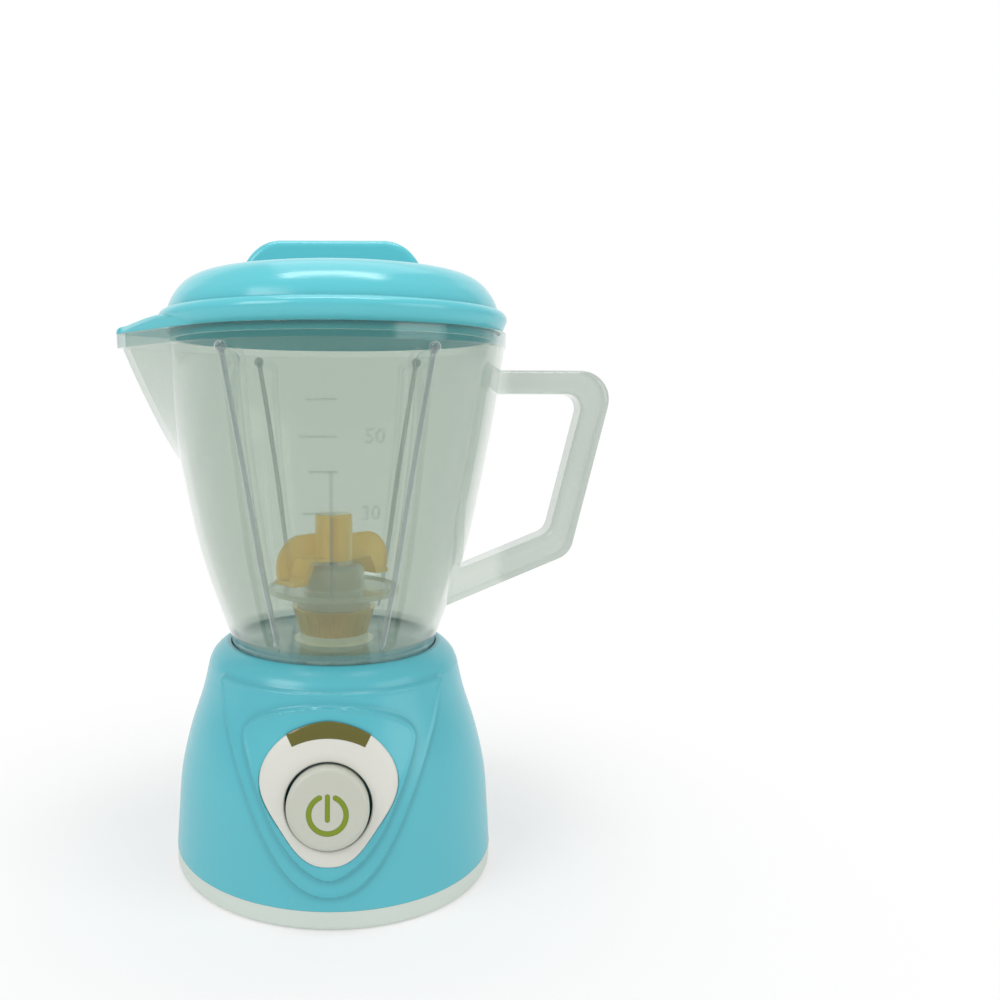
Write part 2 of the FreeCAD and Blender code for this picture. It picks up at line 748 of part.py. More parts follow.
def gear(teeth, phase, bottom, top, bore):
    """Spur gear with involute flanks, a tooth centred at the phase angle (degrees)."""
    pitch = gear_module * teeth / 2
    base = pitch * math.cos(math.radians(pressure_angle))
    tip = pitch + gear_module * 0.92
    root = pitch - gear_module * 1.2
    roll = math.tan(math.radians(pressure_angle)) - math.radians(pressure_angle)
    half_tooth = math.pi / (2 * teeth) - tooth_backlash / (2 * pitch)
    edges = []
    first = None
    previous = None
    flank_foot = max(base, root + 0.02)
    for tooth in range(teeth):
        centre = math.radians(phase) + 2 * math.pi * tooth / teeth
        low = centre - half_tooth - roll
        high = centre + half_tooth + roll
        root_low = Vector(root * math.cos(low), root * math.sin(low), 0)
        root_high = Vector(root * math.cos(high), root * math.sin(high), 0)
        rising = [involute(base, flank_foot, low, 1), involute(base, (flank_foot + tip) / 2, low, 1),
                  involute(base, tip, low, 1)]
        falling = [involute(base, tip, high, -1), involute(base, (flank_foot + tip) / 2, high, -1),
                   involute(base, flank_foot, high, -1)]
        if previous is not None:
            edges.append(line(previous, root_low))
        else:
            first = root_low
        edges += [line(root_low, rising[0]), arc(*rising), line(rising[2], falling[0]),
                  arc(*falling), line(falling[2], root_high)]
        previous = root_high
    edges.append(line(previous, first))
    face = Part.Face(Part.Wire(edges))
    body = face.extrude(Vector(0, 0, top - bottom))
    body.translate(Vector(0, 0, bottom))
    return body.cut(cylinder(bore, bottom - 1, top + 1))


# Heights of the train, built up from the floor of the gear case.
train_z = case_floor_z + case_wall + 1.0
middle_wheel_z = train_z + 0.6
middle_pinion_z = middle_wheel_z + 3.0
output_gear_z = middle_pinion_z + 0.8
train_top_z = output_gear_z + 4.2


def output_gear():
    body = gear(wheel_teeth, train_angle, output_gear_z, output_gear_z + 3.6, output_shaft_radius)
    hub = tube(output_hub_radius, output_shaft_radius, train_z, output_gear_z + 0.1)
    holes = [cylinder(1.6, 0, 99, *polar(5.9, angle)) for angle in range(15, 375, 60)]
    return body.cut(holes).fuse(hub).removeSplitter()


def middle_gear():
    bore = middle_axle_radius + shaft_gap
    wheel = gear(wheel_teeth, motor_angle, middle_wheel_z, middle_wheel_z + 2.6, bore)
    phase = train_angle + 180 + 180.0 / pinion_teeth
    small = gear(pinion_teeth, phase, middle_wheel_z + 2.5, train_top_z, bore)
    hub = tube(2.4, bore, case_floor_z + case_wall + 0.3, middle_wheel_z + 0.1)
    body = wheel.fuse([small, hub])
    body.translate(Vector(middle_x, middle_y, 0))
    return body


def motor_pinion():
    phase = motor_angle + 180 + 180.0 / pinion_teeth
    body = gear(pinion_teeth, phase, train_z, middle_pinion_z - 0.2, motor_shaft_radius)
    body.translate(Vector(motor_x, motor_y, 0))
    return body


def middle_axle():
    return cylinder(middle_axle_radius, case_floor_z + 0.4, case_top_z - 0.4, middle_x, middle_y)


def output_shaft():
    return cylinder(output_shaft_radius, case_floor_z + 0.4, output_shaft_top_z)


def output_bush():
    """Flanged bearing in the floor of the drive pocket."""
    bore = output_shaft_radius + shaft_gap
    sleeve = tube(output_bush_radius, bore, bush_seat_z, pocket_floor_z)
    flange = tube(output_bush_radius + 1.4, bore, pocket_floor_z, pocket_floor_z + output_bush_flange)
    return sleeve.fuse(flange).removeSplitter()


def gear_case():
    low, high = case_floor_z, case_floor_z + case_height
    body = rounded_block(-case_left, case_right, -case_front, case_back, low, high, case_corner)
    hollow = rounded_block(-case_left + case_wall, case_right - case_wall, -case_front + case_wall,
                           case_back - case_wall, low + case_wall, high + 1, case_corner - case_wall)
    body = body.cut(hollow)
    added = [cylinder(case_post_radius, low, high, x, y) for x, y in case_posts]
    added.append(cylinder(3.2, low, train_z - 0.2))
    added.append(cylinder(2.2, low, low + case_wall + 0.1, middle_x, middle_y))
    # Cradle under the floor that grips the top of the motor.
    half_x = motor_width / 2 + seat_gap
    half_y = motor_thickness / 2 + seat_gap
    cradle = rounded_block(-half_x - 1.4, half_x + 1.4, motor_y - half_y - 1.4, motor_y + half_y + 1.4,
                           low - cradle_depth, low + 0.2, 2.0)
    added.append(cradle)
    body = body.fuse(added)
    cuts = [cylinder(output_shaft_radius + shaft_gap, low + 0.3, high)]
    cuts.append(cylinder(middle_axle_radius + 0.01, low + 0.3, high, middle_x, middle_y))
    cuts.append(motor_outline(seat_gap, low - cradle_depth - 1, low))
    cuts.append(cylinder(motor_boss_radius + seat_gap, low - 1, low + case_wall + 3, motor_x, motor_y))
    for x, y in case_posts:
        cuts.append(cylinder(screw_shank_radius + 0.2, low - 1, high + 1, x, y))
        cuts.append(cylinder(screw_head_radius + 0.3, low - 1, low + screw_head_height + 0.2, x, y))
    return body.cut(cuts).removeSplitter()


def motor_outline(grow, bottom, top):
    """Flat-sided round can of a small motor."""
    round_can = cylinder(motor_width / 2 + grow, bottom, top, motor_x, motor_y)
    flat = block(-motor_width, motor_width, motor_y - motor_thickness / 2 - grow,
                 motor_y + motor_thickness / 2 + grow, bottom, top)
    return round_can.common(flat)


def gear_case_cover():
    low = case_floor_z + case_height
    body = rounded_block(-case_left, case_right, -case_front, case_back, low, low + case_cover, case_corner)
    cuts = [cylinder(output_bush_radius + bush_seat_wall + 0.4, low - 1, low + 9),
            cylinder(middle_axle_radius + 0.01, train_top_z, low + case_cover - 0.3, middle_x, middle_y)]
    cuts += [cylinder(screw_shank_radius + 0.2, low - 1, low + 9, x, y) for x, y in case_posts]
    lip = rounded_block(-case_left + case_wall + seat_gap, case_right - case_wall - seat_gap,
                        -case_front + case_wall + seat_gap, case_back - case_wall - seat_gap,
                        low - 1.2, low + 0.1, case_corner - case_wall)
    lip = lip.cut(rounded_block(-case_left + case_wall + 1.3, case_right - case_wall - 1.3,
                                -case_front + case_wall + 1.3, case_back - case_wall - 1.3,
                                low - 2, low + 1, case_corner - case_wall))
    lip = lip.cut([cylinder(case_post_radius + 0.4, low - 2, low + 1, x, y) for x, y in case_posts])
    hub = cylinder(2.6, train_top_z + 0.4, low + 0.1, middle_x, middle_y)
    return body.fuse([lip, hub]).cut(cuts).removeSplitter()


def gear_case_screws():
    head_z = case_floor_z + 0.2
    length = case_drill_z - 0.5 - head_z
    return group([screw(length, x, y, head_z) for x, y in case_posts])


def motor_can():
    low = case_floor_z - motor_length
    can = motor_outline(0, low, case_floor_z)
    boss = cylinder(motor_boss_radius, case_floor_z - 0.1, case_floor_z + motor_boss_height, motor_x, motor_y)
    bore = cylinder(motor_shaft_radius + shaft_gap, low - 1, case_floor_z + 9, motor_x, motor_y)
    return can.fuse(boss).cut(bore).removeSplitter()


def motor_end_cap():
    high = case_floor_z - motor_length
    cap = motor_outline(-0.3, high - motor_cap_length + 1.6, high)
    bearing = cylinder(3.0, high - motor_cap_length, high, motor_x, motor_y)
    bore = cylinder(motor_shaft_radius + shaft_gap, high - motor_cap_length + 0.8, high + 1, motor_x, motor_y)
    return cap.fuse(bearing).cut(bore).removeSplitter()


def motor_terminals():
    high = case_floor_z - motor_length - motor_cap_length + 1.6
    tabs = []
    for side in (-1, 1):
        tab = block(side * 7.0 - 1.2, side * 7.0 + 1.2, motor_y - 0.2, motor_y + 0.2, high - 3.4, high)
        eye = Part.makeCylinder(0.6, 2, Vector(side * 7.0, motor_y - 1, high - 2.2), Vector(0, 1, 0))
        tabs.append(tab.cut(eye))
    return group(tabs)


def motor_shaft():
    low = case_floor_z - motor_length - motor_cap_length + 1.2
    return cylinder(motor_shaft_radius, low, middle_pinion_z + 0.3, motor_x, motor_y)


# ---------------------------------------------------------------- drive clutch
coupler_low_z = pocket_floor_z + coupler_lift
coupler_top_z = coupler_low_z + coupler_disc
output_shaft_top_z = coupler_top_z + 1.0
driven_disc_z = coupler_top_z + dog_height + 0.6


def dogs(bottom, top, phase):
    """Ring sectors that stand on a clutch disc."""
    teeth = []
    for index in range(dog_count):
        angle = phase + index * 360.0 / dog_count
        ring = tube(coupler_radius, dog_inner_radius, bottom, top)
        reach = coupler_radius * 2
        start = Vector(*polar(reach, angle - dog_width / 2), bottom - 1)
        end = Vector(*polar(reach, angle + dog_width / 2), bottom - 1)
        wedge = polygon_face([Vector(0, 0, bottom - 1), start, end]).extrude(Vector(0, 0, top - bottom + 2))
        teeth.append(ring.common(wedge))
    return teeth


def drive_coupler():
    disc = cylinder(coupler_radius, coupler_low_z, coupler_top_z)
    hub = cylinder(output_shaft_radius + 1.6, coupler_top_z, output_shaft_top_z + 0.4)
    body = disc.fuse(dogs(coupler_top_z - 0.1, coupler_top_z + dog_height, 0) + [hub])
    bore = cylinder(output_shaft_radius, 0, output_shaft_top_z)
    return body.cut(bore).removeSplitter()


def driven_coupler():
    disc = cylinder(coupler_radius, driven_disc_z, driven_disc_z + coupler_disc)
    half_pitch = 180.0 / dog_count
    body = disc.fuse(dogs(driven_disc_z - dog_height, driven_disc_z + 0.1, half_pitch))
    return body.cut(cylinder(spindle_radius, 0, 99)).removeSplitter()


# ---------------------------------------------------------------- jug
def spout_wedge(radius, reach, height, grow=0.0):
    """Corners of one side of the V-shaped spout seen from above, at one height.  The flat
    side runs from its tangent point on the round wall to the start of the rounded tip."""
    apex = radius * (radius + reach - spout_tip_radius) / (radius - spout_tip_radius)
    lean = math.acos(radius / apex)
    apex *= (radius + grow) / radius
    wall = radius + grow
    tip_radius = spout_tip_radius + grow
    centre = -apex * (1 - tip_radius / wall)
    foot = Vector(-wall * math.cos(lean), wall * math.sin(lean), height)
    start = Vector(centre - tip_radius * math.cos(lean), tip_radius * math.sin(lean), height)
    tip = Vector(centre - tip_radius, 0, height)
    return foot, start, tip


def flip(point):
    return Vector(point.x, -point.y, point.z)


def reach_at(height):
    share = (height - spout_start_z) / (jug_rim_z - spout_start_z)
    return spout_reach * max(share, 0.0) ** 0.8


def spout_body(grow):
    """Flared spout below the rim band, every face moved outwards by grow."""
    side = jug_curve()
    sections = []
    top = jug_rim_z - rim_band_height
    for share in (0.04, 0.2, 0.45, 0.72, 1.0):
        height = spout_start_z + (top - spout_start_z) * share
        radius = radius_at(side, height) - spout_sink
        foot, start, tip = spout_wedge(radius, reach_at(height) + spout_sink, height, grow)
        sections.append(Part.Wire([line(foot, start), arc(start, tip, flip(start)),
                                   line(flip(start), flip(foot)), line(flip(foot), foot)]))
    return Part.makeLoft(sections, True, False)


def rim_slab(grow, bottom, top):
    """Slab with the outline of the jug's mouth and spout, moved outwards by grow."""
    foot, start, tip = spout_wedge(jug_rim_radius, spout_reach, bottom, grow)
    wire = Part.Wire([line(foot, start), arc(start, tip, flip(start)), line(flip(start), flip(foot)),
                      arc(flip(foot), Vector(jug_rim_radius + grow, 0, bottom), foot)])
    return Part.Face(wire).extrude(Vector(0, 0, top - bottom))


def flute(angle, radius):
    """Round channel that follows the jug's side, with a larger ball end at the top."""
    side = jug_curve()
    low = flute_bottom_z + flute_radius
    rise = flute_top_z - flute_radius - flute_ball_extra - low
    points = []
    for share in (0.0, 0.5, 1.0):
        height = low + rise * share
        points.append(Vector(radius_at(side, height) + flute_offset, 0, height))
    path = Part.Arc(*points)
    section = Part.Wire(Part.makeCircle(radius, points[0], path.tangent(path.FirstParameter)[0]))
    pipe = Part.Wire(path.toShape()).makePipeShell([section], True, True)
    foot_ball = Part.makeSphere(radius + flute_ball_extra / 2, points[0])
    top_ball = Part.makeSphere(radius + flute_ball_extra, points[-1])
    return turned_about_axis(pipe.fuse([foot_ball, top_ball]), angle)


def flutes(radius):
    """Two flutes beside the front middle line and two beside the back one."""
    angles = [middle + hand * flute_spread for middle in (-90, 90) for hand in (-1, 1)]
    return [flute(angle, radius) for angle in angles]


def jug_outer():
    side = jug_curve()
    band_z = jug_rim_z - rim_band_height
    foot = Vector(jug_foot_radius, 0, well_floor_z)
    edges = [line(Vector(0, 0, well_floor_z), foot), line(foot, side.value(side.FirstParameter)),
             side.toShape(), line(side.value(side.LastParameter), Vector(0, 0, band_z)),
             line(Vector(0, 0, band_z), Vector(0, 0, well_floor_z))]
    body = closed_face(edges).revolve(Vector(), UP, 360)
    return body.fuse([spout_body(0), rim_slab(rim_band_proud, band_z, jug_rim_z)])


def jug_inner():
    side = jug_curve(-jug_wall)
    band_z = jug_rim_z - rim_band_height
    start = side.value(side.FirstParameter)
    floor_corner = Vector(start.x - 2.0, 0, jug_floor_top_z)
    corners = [Vector(0, 0, neck_top_z), Vector(neck_radius, 0, neck_top_z), Vector(neck_radius, 0, boss_top_z),
               Vector(boss_radius, 0, boss_top_z), Vector(boss_radius, 0, jug_floor_top_z), floor_corner]
    edges = [line(a, b) for a, b in zip(corners, corners[1:])]
    edges += [arc(floor_corner, Vector(start.x - 0.5, 0, jug_floor_top_z + 0.45), start), side.toShape(),
              line(side.value(side.LastParameter), Vector(0, 0, band_z)),
              line(Vector(0, 0, band_z), corners[0])]
    body = closed_face(edges).revolve(Vector(), UP, 360)
    return body.fuse([spout_body(-jug_wall), rim_slab(-jug_wall, band_z - 0.01, jug_rim_z + 1)])


def handle():
    """Flat bar bent into a grip: an outer prism less the finger opening."""
    half = handle_depth / 2
    outer = [(46.0, handle_top_z), (85.8, handle_top_z), (74.2, 101.3), (30.0, 81.9), (30.0, 100.0), (46.0, 145.0)]
    inner = [(30.0, handle_under_z), (76.2, handle_under_z), (67.3, 108.3), (30.0, 92.2)]
    solids = []
    for corners, rounds in ((outer, {1: 9.0, 2: 7.0}), (inner, {1: 4.4, 2: 5.0})):
        face = polygon_face([Vector(x, -half, z) for x, z in corners])
        prism = face.extrude(Vector(0, handle_depth, 0))
        for index, radius in rounds.items():
            x, z = corners[index]
            edge = [item for item in prism.Edges
                    if abs(item.Vertexes[0].X - x) < 0.01 and abs(item.Vertexes[0].Z - z) < 0.01
                    and abs(item.Vertexes[-1].X - x) < 0.01 and abs(item.Vertexes[-1].Z - z) < 0.01]
            prism = prism.makeFillet(radius, edge)
        solids.append(prism)
    bar = solids[0].cut(solids[1])
    flat_edges = []
    for edge in bar.Edges:
        box = edge.BoundBox
        on_face = abs(abs(box.YMin) - half) < 0.01 and abs(box.YMax - box.YMin) < 0.01
        if on_face and box.XMax > 47:
            flat_edges.append(edge)
    return bar.makeFillet(handle_round, flat_edges)


def jug():
    outer = jug_outer().fuse(handle())
    keys = []
    for angle in key_angles:
        key = block(jug_foot_radius - 1.5, jug_foot_radius + key_reach, -key_width / 2, key_width / 2,
                    well_floor_z, well_floor_z + key_height)
        keys.append(turned_about_axis(key, angle))
    cavity = jug_inner()
    ribs = [rib.common(cavity) for rib in flutes(flute_radius + flute_rib_wall)]
    body = outer.cut(cavity).fuse(ribs).cut(flutes(flute_radius))
    body = body.cut(under_floor_space()).fuse(keys)
    return body.cut(cylinder(bush_radius, well_floor_z - 1, neck_top_z + 1)).removeSplitter()


def under_floor_space():
    """Room under the jug's floor for the clutch, round the hub that holds the bush."""
    floor_under_z = jug_floor_top_z - jug_wall
    foot_inner = jug_foot_radius - jug_wall
    hub_outer = bush_radius + 1.6
    low = well_floor_z - 1
    return turned([(0, low), (foot_inner, low), (foot_inner, floor_under_z), (hub_outer, floor_under_z),
                   (hub_outer, bush_bottom_z), (0, bush_bottom_z)])


# ---------------------------------------------------------------- blade unit
bush_radius = 3.0
bush_bottom_z = driven_disc_z + coupler_disc + 0.3
blade_under_z = blade_arm_z - blade_flange
hub_top_z = blade_under_z - 1.0


def spindle_bush():
    return tube(bush_radius, spindle_radius + shaft_gap, bush_bottom_z, neck_top_z)


def spindle():
    return cylinder(spindle_radius, driven_disc_z - 1.0, blade_top_z - 2.0)


def blade_collar():
    """Ribbed amber nut that clamps the clear dish on the jug's neck."""
    cup = turned([(neck_radius + slide_gap, boss_top_z), (collar_foot_radius, boss_top_z),
                  (collar_rim_radius, collar_rim_z), (sleeve_radius, collar_rim_z),
                  (sleeve_radius, sleeve_top_z), (spindle_radius + 0.3, sleeve_top_z),
                  (spindle_radius + 0.3, neck_top_z + 0.4), (neck_radius + slide_gap, neck_top_z + 0.4)])
    grooves = []
    lean = math.degrees(math.atan((collar_rim_radius - collar_foot_radius) / (collar_rim_z - boss_top_z)))
    for index in range(collar_ribs):
        groove = cylinder(0.75, boss_top_z - 2, collar_rim_z - 1.2)
        groove.rotate(Vector(0, 0, boss_top_z), Vector(0, 1, 0), lean)
        groove.translate(Vector(collar_foot_radius + 0.35, 0, 0))
        grooves.append(turned_about_axis(groove, index * 360.0 / collar_ribs))
    return cup.cut(grooves)


def splash_dish():
    """Clear round dish with a domed hub over the collar's sleeve."""
    hub_radius = sleeve_radius + seat_gap + hub_wall
    bore = spindle_radius + 0.4
    under = dish_z - dish_thickness
    seat_radius = collar_rim_radius - 1.4
    return turned([(sleeve_radius + seat_gap, collar_rim_z), (seat_radius, collar_rim_z),
                   (seat_radius, under - 0.8), (dish_radius - 1.0, under), (dish_radius, under + 0.3),
                   (dish_radius, dish_z + 0.7), (dish_radius - 0.7, dish_z + 0.7), (dish_radius - 1.0, dish_z),
                   (hub_radius + 0.6, dish_z), (hub_radius, dish_z + 0.6), (hub_radius, hub_top_z - 1.4),
                   (hub_radius - 1.4, hub_top_z), (bore, hub_top_z), (bore, sleeve_top_z),
                   (sleeve_radius + seat_gap, sleeve_top_z)])


def blade_arm():
    """One arm along +X: a bent flange with an upright curved web on it."""
    knee = 13.4
    leg_x = 15.6
    top = blade_arm_z
    foot = blade_foot_z
    flange_outline = [Vector(0, 0, top), Vector(knee, 0, top), Vector(leg_x + 0.6, 0, foot + blade_flange),
                      Vector(blade_radius, 0, foot + blade_flange), Vector(blade_radius, 0, foot),
                      Vector(leg_x - 0.6, 0, foot), Vector(knee - 1.2, 0, top - blade_flange),
                      Vector(0, 0, top - blade_flange)]
    flange = polygon_face(flange_outline).extrude(Vector(0, blade_width, 0))
    flange.translate(Vector(0, -blade_width / 2, 0))
    web_top = top + 7.0
    shoulder = Vector(10.5, 0, web_top)
    tip = Vector(blade_radius - 0.8, 0, foot + blade_flange)
    bulge = Vector(17.2, 0, web_top - 2.9)
    edges = [line(Vector(0, 0, top - 0.2), Vector(0, 0, web_top)), line(Vector(0, 0, web_top), shoulder),
             arc(shoulder, bulge, tip), line(tip, Vector(leg_x, 0, foot + 0.5)),
             line(Vector(leg_x, 0, foot + 0.5), Vector(knee - 0.6, 0, top - 0.2)),
             line(Vector(knee - 0.6, 0, top - 0.2), Vector(0, 0, top - 0.2))]
    web = closed_face(edges).extrude(Vector(0, blade_web, 0))
    web.translate(Vector(0, -blade_width / 2, 0))
    return flange.fuse(web)


def blade():
    boss = cylinder(blade_boss_radius, blade_under_z, blade_top_z)
    boss = boss.makeFillet(0.8, edges_at_height(boss, blade_top_z))
    arms = [turned_about_axis(blade_arm(), angle) for angle in (180 + blade_angle, blade_angle)]
    body = boss.fuse(arms)
    body = body.cut(cylinder(spindle_radius, 0, blade_top_z - 2.0))
    return body.removeSplitter()


# ---------------------------------------------------------------- lid
def lid():
    flange = rim_slab(lid_radius - jug_rim_radius, jug_rim_z, lid_flange_top_z)
    flange = flange.makeFillet(lid_edge_round, edges_at_height(flange, lid_flange_top_z))
    crown_outer = crown_solid(0.0)
    crown_inner = crown_solid(lid_wall)
    rib_reach = flute_radius + flute_ball_extra + flute_rib_wall - flute_offset
    skirt_outer = radius_at(jug_curve(), flute_top_z - flute_radius) - rib_reach - slide_gap
    skirt_inner = skirt_outer - lid_skirt_wall
    skirt = cylinder(skirt_outer, jug_rim_z - lid_skirt_depth, jug_rim_z + 1)
    body = flange.fuse([crown_outer, skirt, knob()])
    bore = cylinder(skirt_inner, jug_rim_z - lid_skirt_depth - 1, lid_flange_top_z - 1.2)
    return body.cut([bore, crown_inner]).removeSplitter()


def crown_solid(inset):
    """Domed crown above the flange."""
    rise = lid_crown_z - lid_flange_top_z
    foot = lid_flange_top_z - 1.5
    points = [Vector(lid_crown_radius * share - inset, 0, lid_flange_top_z + rise * height - inset)
              for share, height in lid_crown]
    points[0] = Vector(lid_crown_radius - inset, 0, foot)
    centre = Vector(0, 0, lid_crown_z - inset)
    dome = smooth_curve(points + [centre])
    edges = [line(Vector(0, 0, foot), points[0]), dome.toShape(), line(centre, Vector(0, 0, foot))]
    return closed_face(edges).revolve(Vector(), UP, 360)


def knob():
    """Bar grip across the crown with rounded ends."""
    foot = lid_crown_z - 4.0
    half = knob_depth / 2
    corner_x = knob_half_length - knob_corner
    swing = knob_corner * math.sqrt(0.5)
    edges = []
    shoulder_z_value = knob_top_z - knob_corner
    for side in (1, -1):
        outer = Vector(side * knob_half_length, 0, shoulder_z_value)
        middle = Vector(side * (corner_x + swing), 0, shoulder_z_value + swing)
        top = Vector(side * corner_x, 0, knob_top_z)
        edges.append(line(Vector(side * knob_half_length, 0, foot), outer))
        edges.append(arc(outer, middle, top))
    edges.append(line(Vector(corner_x, 0, knob_top_z), Vector(-corner_x, 0, knob_top_z)))
    edges.append(line(Vector(-knob_half_length, 0, foot), Vector(knob_half_length, 0, foot)))
    face = closed_face(edges)
    bar = face.extrude(Vector(0, knob_depth, 0))
    bar.translate(Vector(0, -half, 0))
    rim = [edge for edge in bar.Edges if abs(edge.BoundBox.YMax - edge.BoundBox.YMin) < 0.01
           and edge.BoundBox.ZMax > foot + 0.5]
    return bar.makeFillet(knob_round, rim)


# ---------------------------------------------------------------- screws
def plate_screws():
    return group([screw(plate_screw_length, x, y, 1.0) for x, y in plate_screw_places])


def battery_door_screws():
    return group([screw(door_screw_length, side * door_screw_x, battery_y, door_recess + 0.1)
                  for side in (-1, 1)])


# ---------------------------------------------------------------- export
pieces = {
    "base_housing": base_housing,
    "base_plate": base_plate,
    "plate_screws": plate_screws,
    "battery_door": battery_door,
    "battery_door_screws": battery_door_screws,
    "battery_cell_left": lambda: battery_cell(1),
    "battery_cell_right": lambda: battery_cell(-1),
    "battery_contact_plates": contact_plates,
    "battery_contact_springs": contact_springs,
    "control_panel": control_panel,
    "indicator_window": indicator_window,
    "power_button": power_button,
    "button_spring": button_spring,
    "push_switch": push_switch,
    "switch_plunger": switch_plunger,
    "circuit_board": circuit_board,
    "board_screws": board_screws,
    "indicator_lights": indicator_lights,
    "gear_case": gear_case,
    "gear_case_cover": gear_case_cover,
    "gear_case_screws": gear_case_screws,
    "motor_can": motor_can,
    "motor_end_cap": motor_end_cap,
    "motor_terminals": motor_terminals,
    "motor_shaft": motor_shaft,
    "motor_pinion": motor_pinion,
    "middle_gear": middle_gear,
    "middle_axle": middle_axle,
    "output_gear": output_gear,
    "output_shaft": output_shaft,
    "output_bush": output_bush,
    "drive_coupler": drive_coupler,
    "driven_coupler": driven_coupler,
    "jug": jug,
    "spindle_bush": spindle_bush,
    "spindle": spindle,
    "blade_collar": blade_collar,
    "splash_dish": splash_dish,
    "blade": blade,
    "lid": lid,
}

os.makedirs("parts", exist_ok=True)
for name, build in pieces.items():
    build().exportStep("parts/%s.step" % name)
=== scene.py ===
# %% [markdown]
# # A toy blender, dressed for its picture
# The frame below is the toy's own solids: a drum-shaped base with a motor inside it, a clear jug
# with a spout and a handle, an amber blade that a clutch drives, and a lid with a flat grip on top.
# This lesson gives each of them the plastic or metal that it is made of, models the softer forms of
# the lid, the housing and the panel, adds the raised and printed marks, and lights the toy in a
# plain white studio.

# %% Load the frame
import json
import math

import bmesh
import bpy
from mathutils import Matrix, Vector

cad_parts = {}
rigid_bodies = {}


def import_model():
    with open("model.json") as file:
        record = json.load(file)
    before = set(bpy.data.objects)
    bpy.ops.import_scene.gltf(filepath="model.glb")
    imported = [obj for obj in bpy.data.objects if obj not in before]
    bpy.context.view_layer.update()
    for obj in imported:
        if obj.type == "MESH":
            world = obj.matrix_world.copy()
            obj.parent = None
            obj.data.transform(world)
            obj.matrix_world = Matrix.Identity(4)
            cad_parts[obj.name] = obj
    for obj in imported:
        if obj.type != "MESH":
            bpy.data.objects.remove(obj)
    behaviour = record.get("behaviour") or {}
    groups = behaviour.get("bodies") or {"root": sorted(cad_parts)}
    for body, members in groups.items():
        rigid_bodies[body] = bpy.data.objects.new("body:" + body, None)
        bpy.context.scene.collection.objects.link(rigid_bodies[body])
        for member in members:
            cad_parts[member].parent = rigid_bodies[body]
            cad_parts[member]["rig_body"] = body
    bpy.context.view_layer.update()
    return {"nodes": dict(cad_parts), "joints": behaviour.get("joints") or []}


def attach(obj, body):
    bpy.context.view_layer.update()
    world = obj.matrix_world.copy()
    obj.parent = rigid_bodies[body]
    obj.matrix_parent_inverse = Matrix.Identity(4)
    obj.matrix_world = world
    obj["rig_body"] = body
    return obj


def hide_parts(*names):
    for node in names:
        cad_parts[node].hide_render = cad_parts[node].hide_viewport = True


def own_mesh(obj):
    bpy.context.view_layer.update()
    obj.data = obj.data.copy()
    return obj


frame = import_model()
nodes = frame["nodes"]
print("pieces:", len(nodes))


# %% [markdown]
# ## Colours as the eye reads them
# A colour picked by eye, or by a paint card, is a screen value from 0 to 255. The shaders add and
# multiply light, so they want the linear value instead. One small function turns the first into the
# second, and the rest of the lesson can name colours the way a toy designer would.

# %% From screen values to light
def tint(red, green, blue):
    """The linear colour of a screen value from 0 to 255."""
    channels = []
    for value in (red, green, blue):
        share = value / 255
        if share <= 0.04045:
            channels.append(share / 12.92)
        else:
            channels.append(((share + 0.055) / 1.055) ** 2.4)
    return (*channels, 1.0)


print("teal in linear light:", [round(x, 3) for x in tint(104, 186, 199)[:3]])


# %% [markdown]
# ## Writing finishes as sums
# A finish is a small net of nodes, and wiring it by hand hides what it says. Here a socket is
# wrapped in a class that knows plus, minus and times, so that `1 - mask` or `mask * 0.2 + 0.4`
# builds its own Math nodes. Every other node comes from one method, which sets the node's own
# settings first and then its sockets.

# %% A socket that can be added and multiplied
class Signal:
    """A shader socket that carries a number or a colour, and adds Math nodes to its tree."""

    def __init__(self, socket):
        self.socket = socket
        self.tree = socket.id_data

    def combine(self, operation, first, second):
        math_node = self.tree.nodes.new("ShaderNodeMath")
        math_node.operation = operation
        for place, value in enumerate((first, second)):
            if isinstance(value, Signal):
                self.tree.links.new(value.socket, math_node.inputs[place])
            else:
                math_node.inputs[place].default_value = value
        return Signal(math_node.outputs[0])

    def __add__(self, other):
        return self.combine("ADD", self, other)

    def __sub__(self, other):
        return self.combine("SUBTRACT", self, other)

    def __rsub__(self, other):
        return self.combine("SUBTRACT", other, self)

    def __mul__(self, other):
        return self.combine("MULTIPLY", self, other)

    def either(self, other):
        return self.combine("MAXIMUM", self, other)


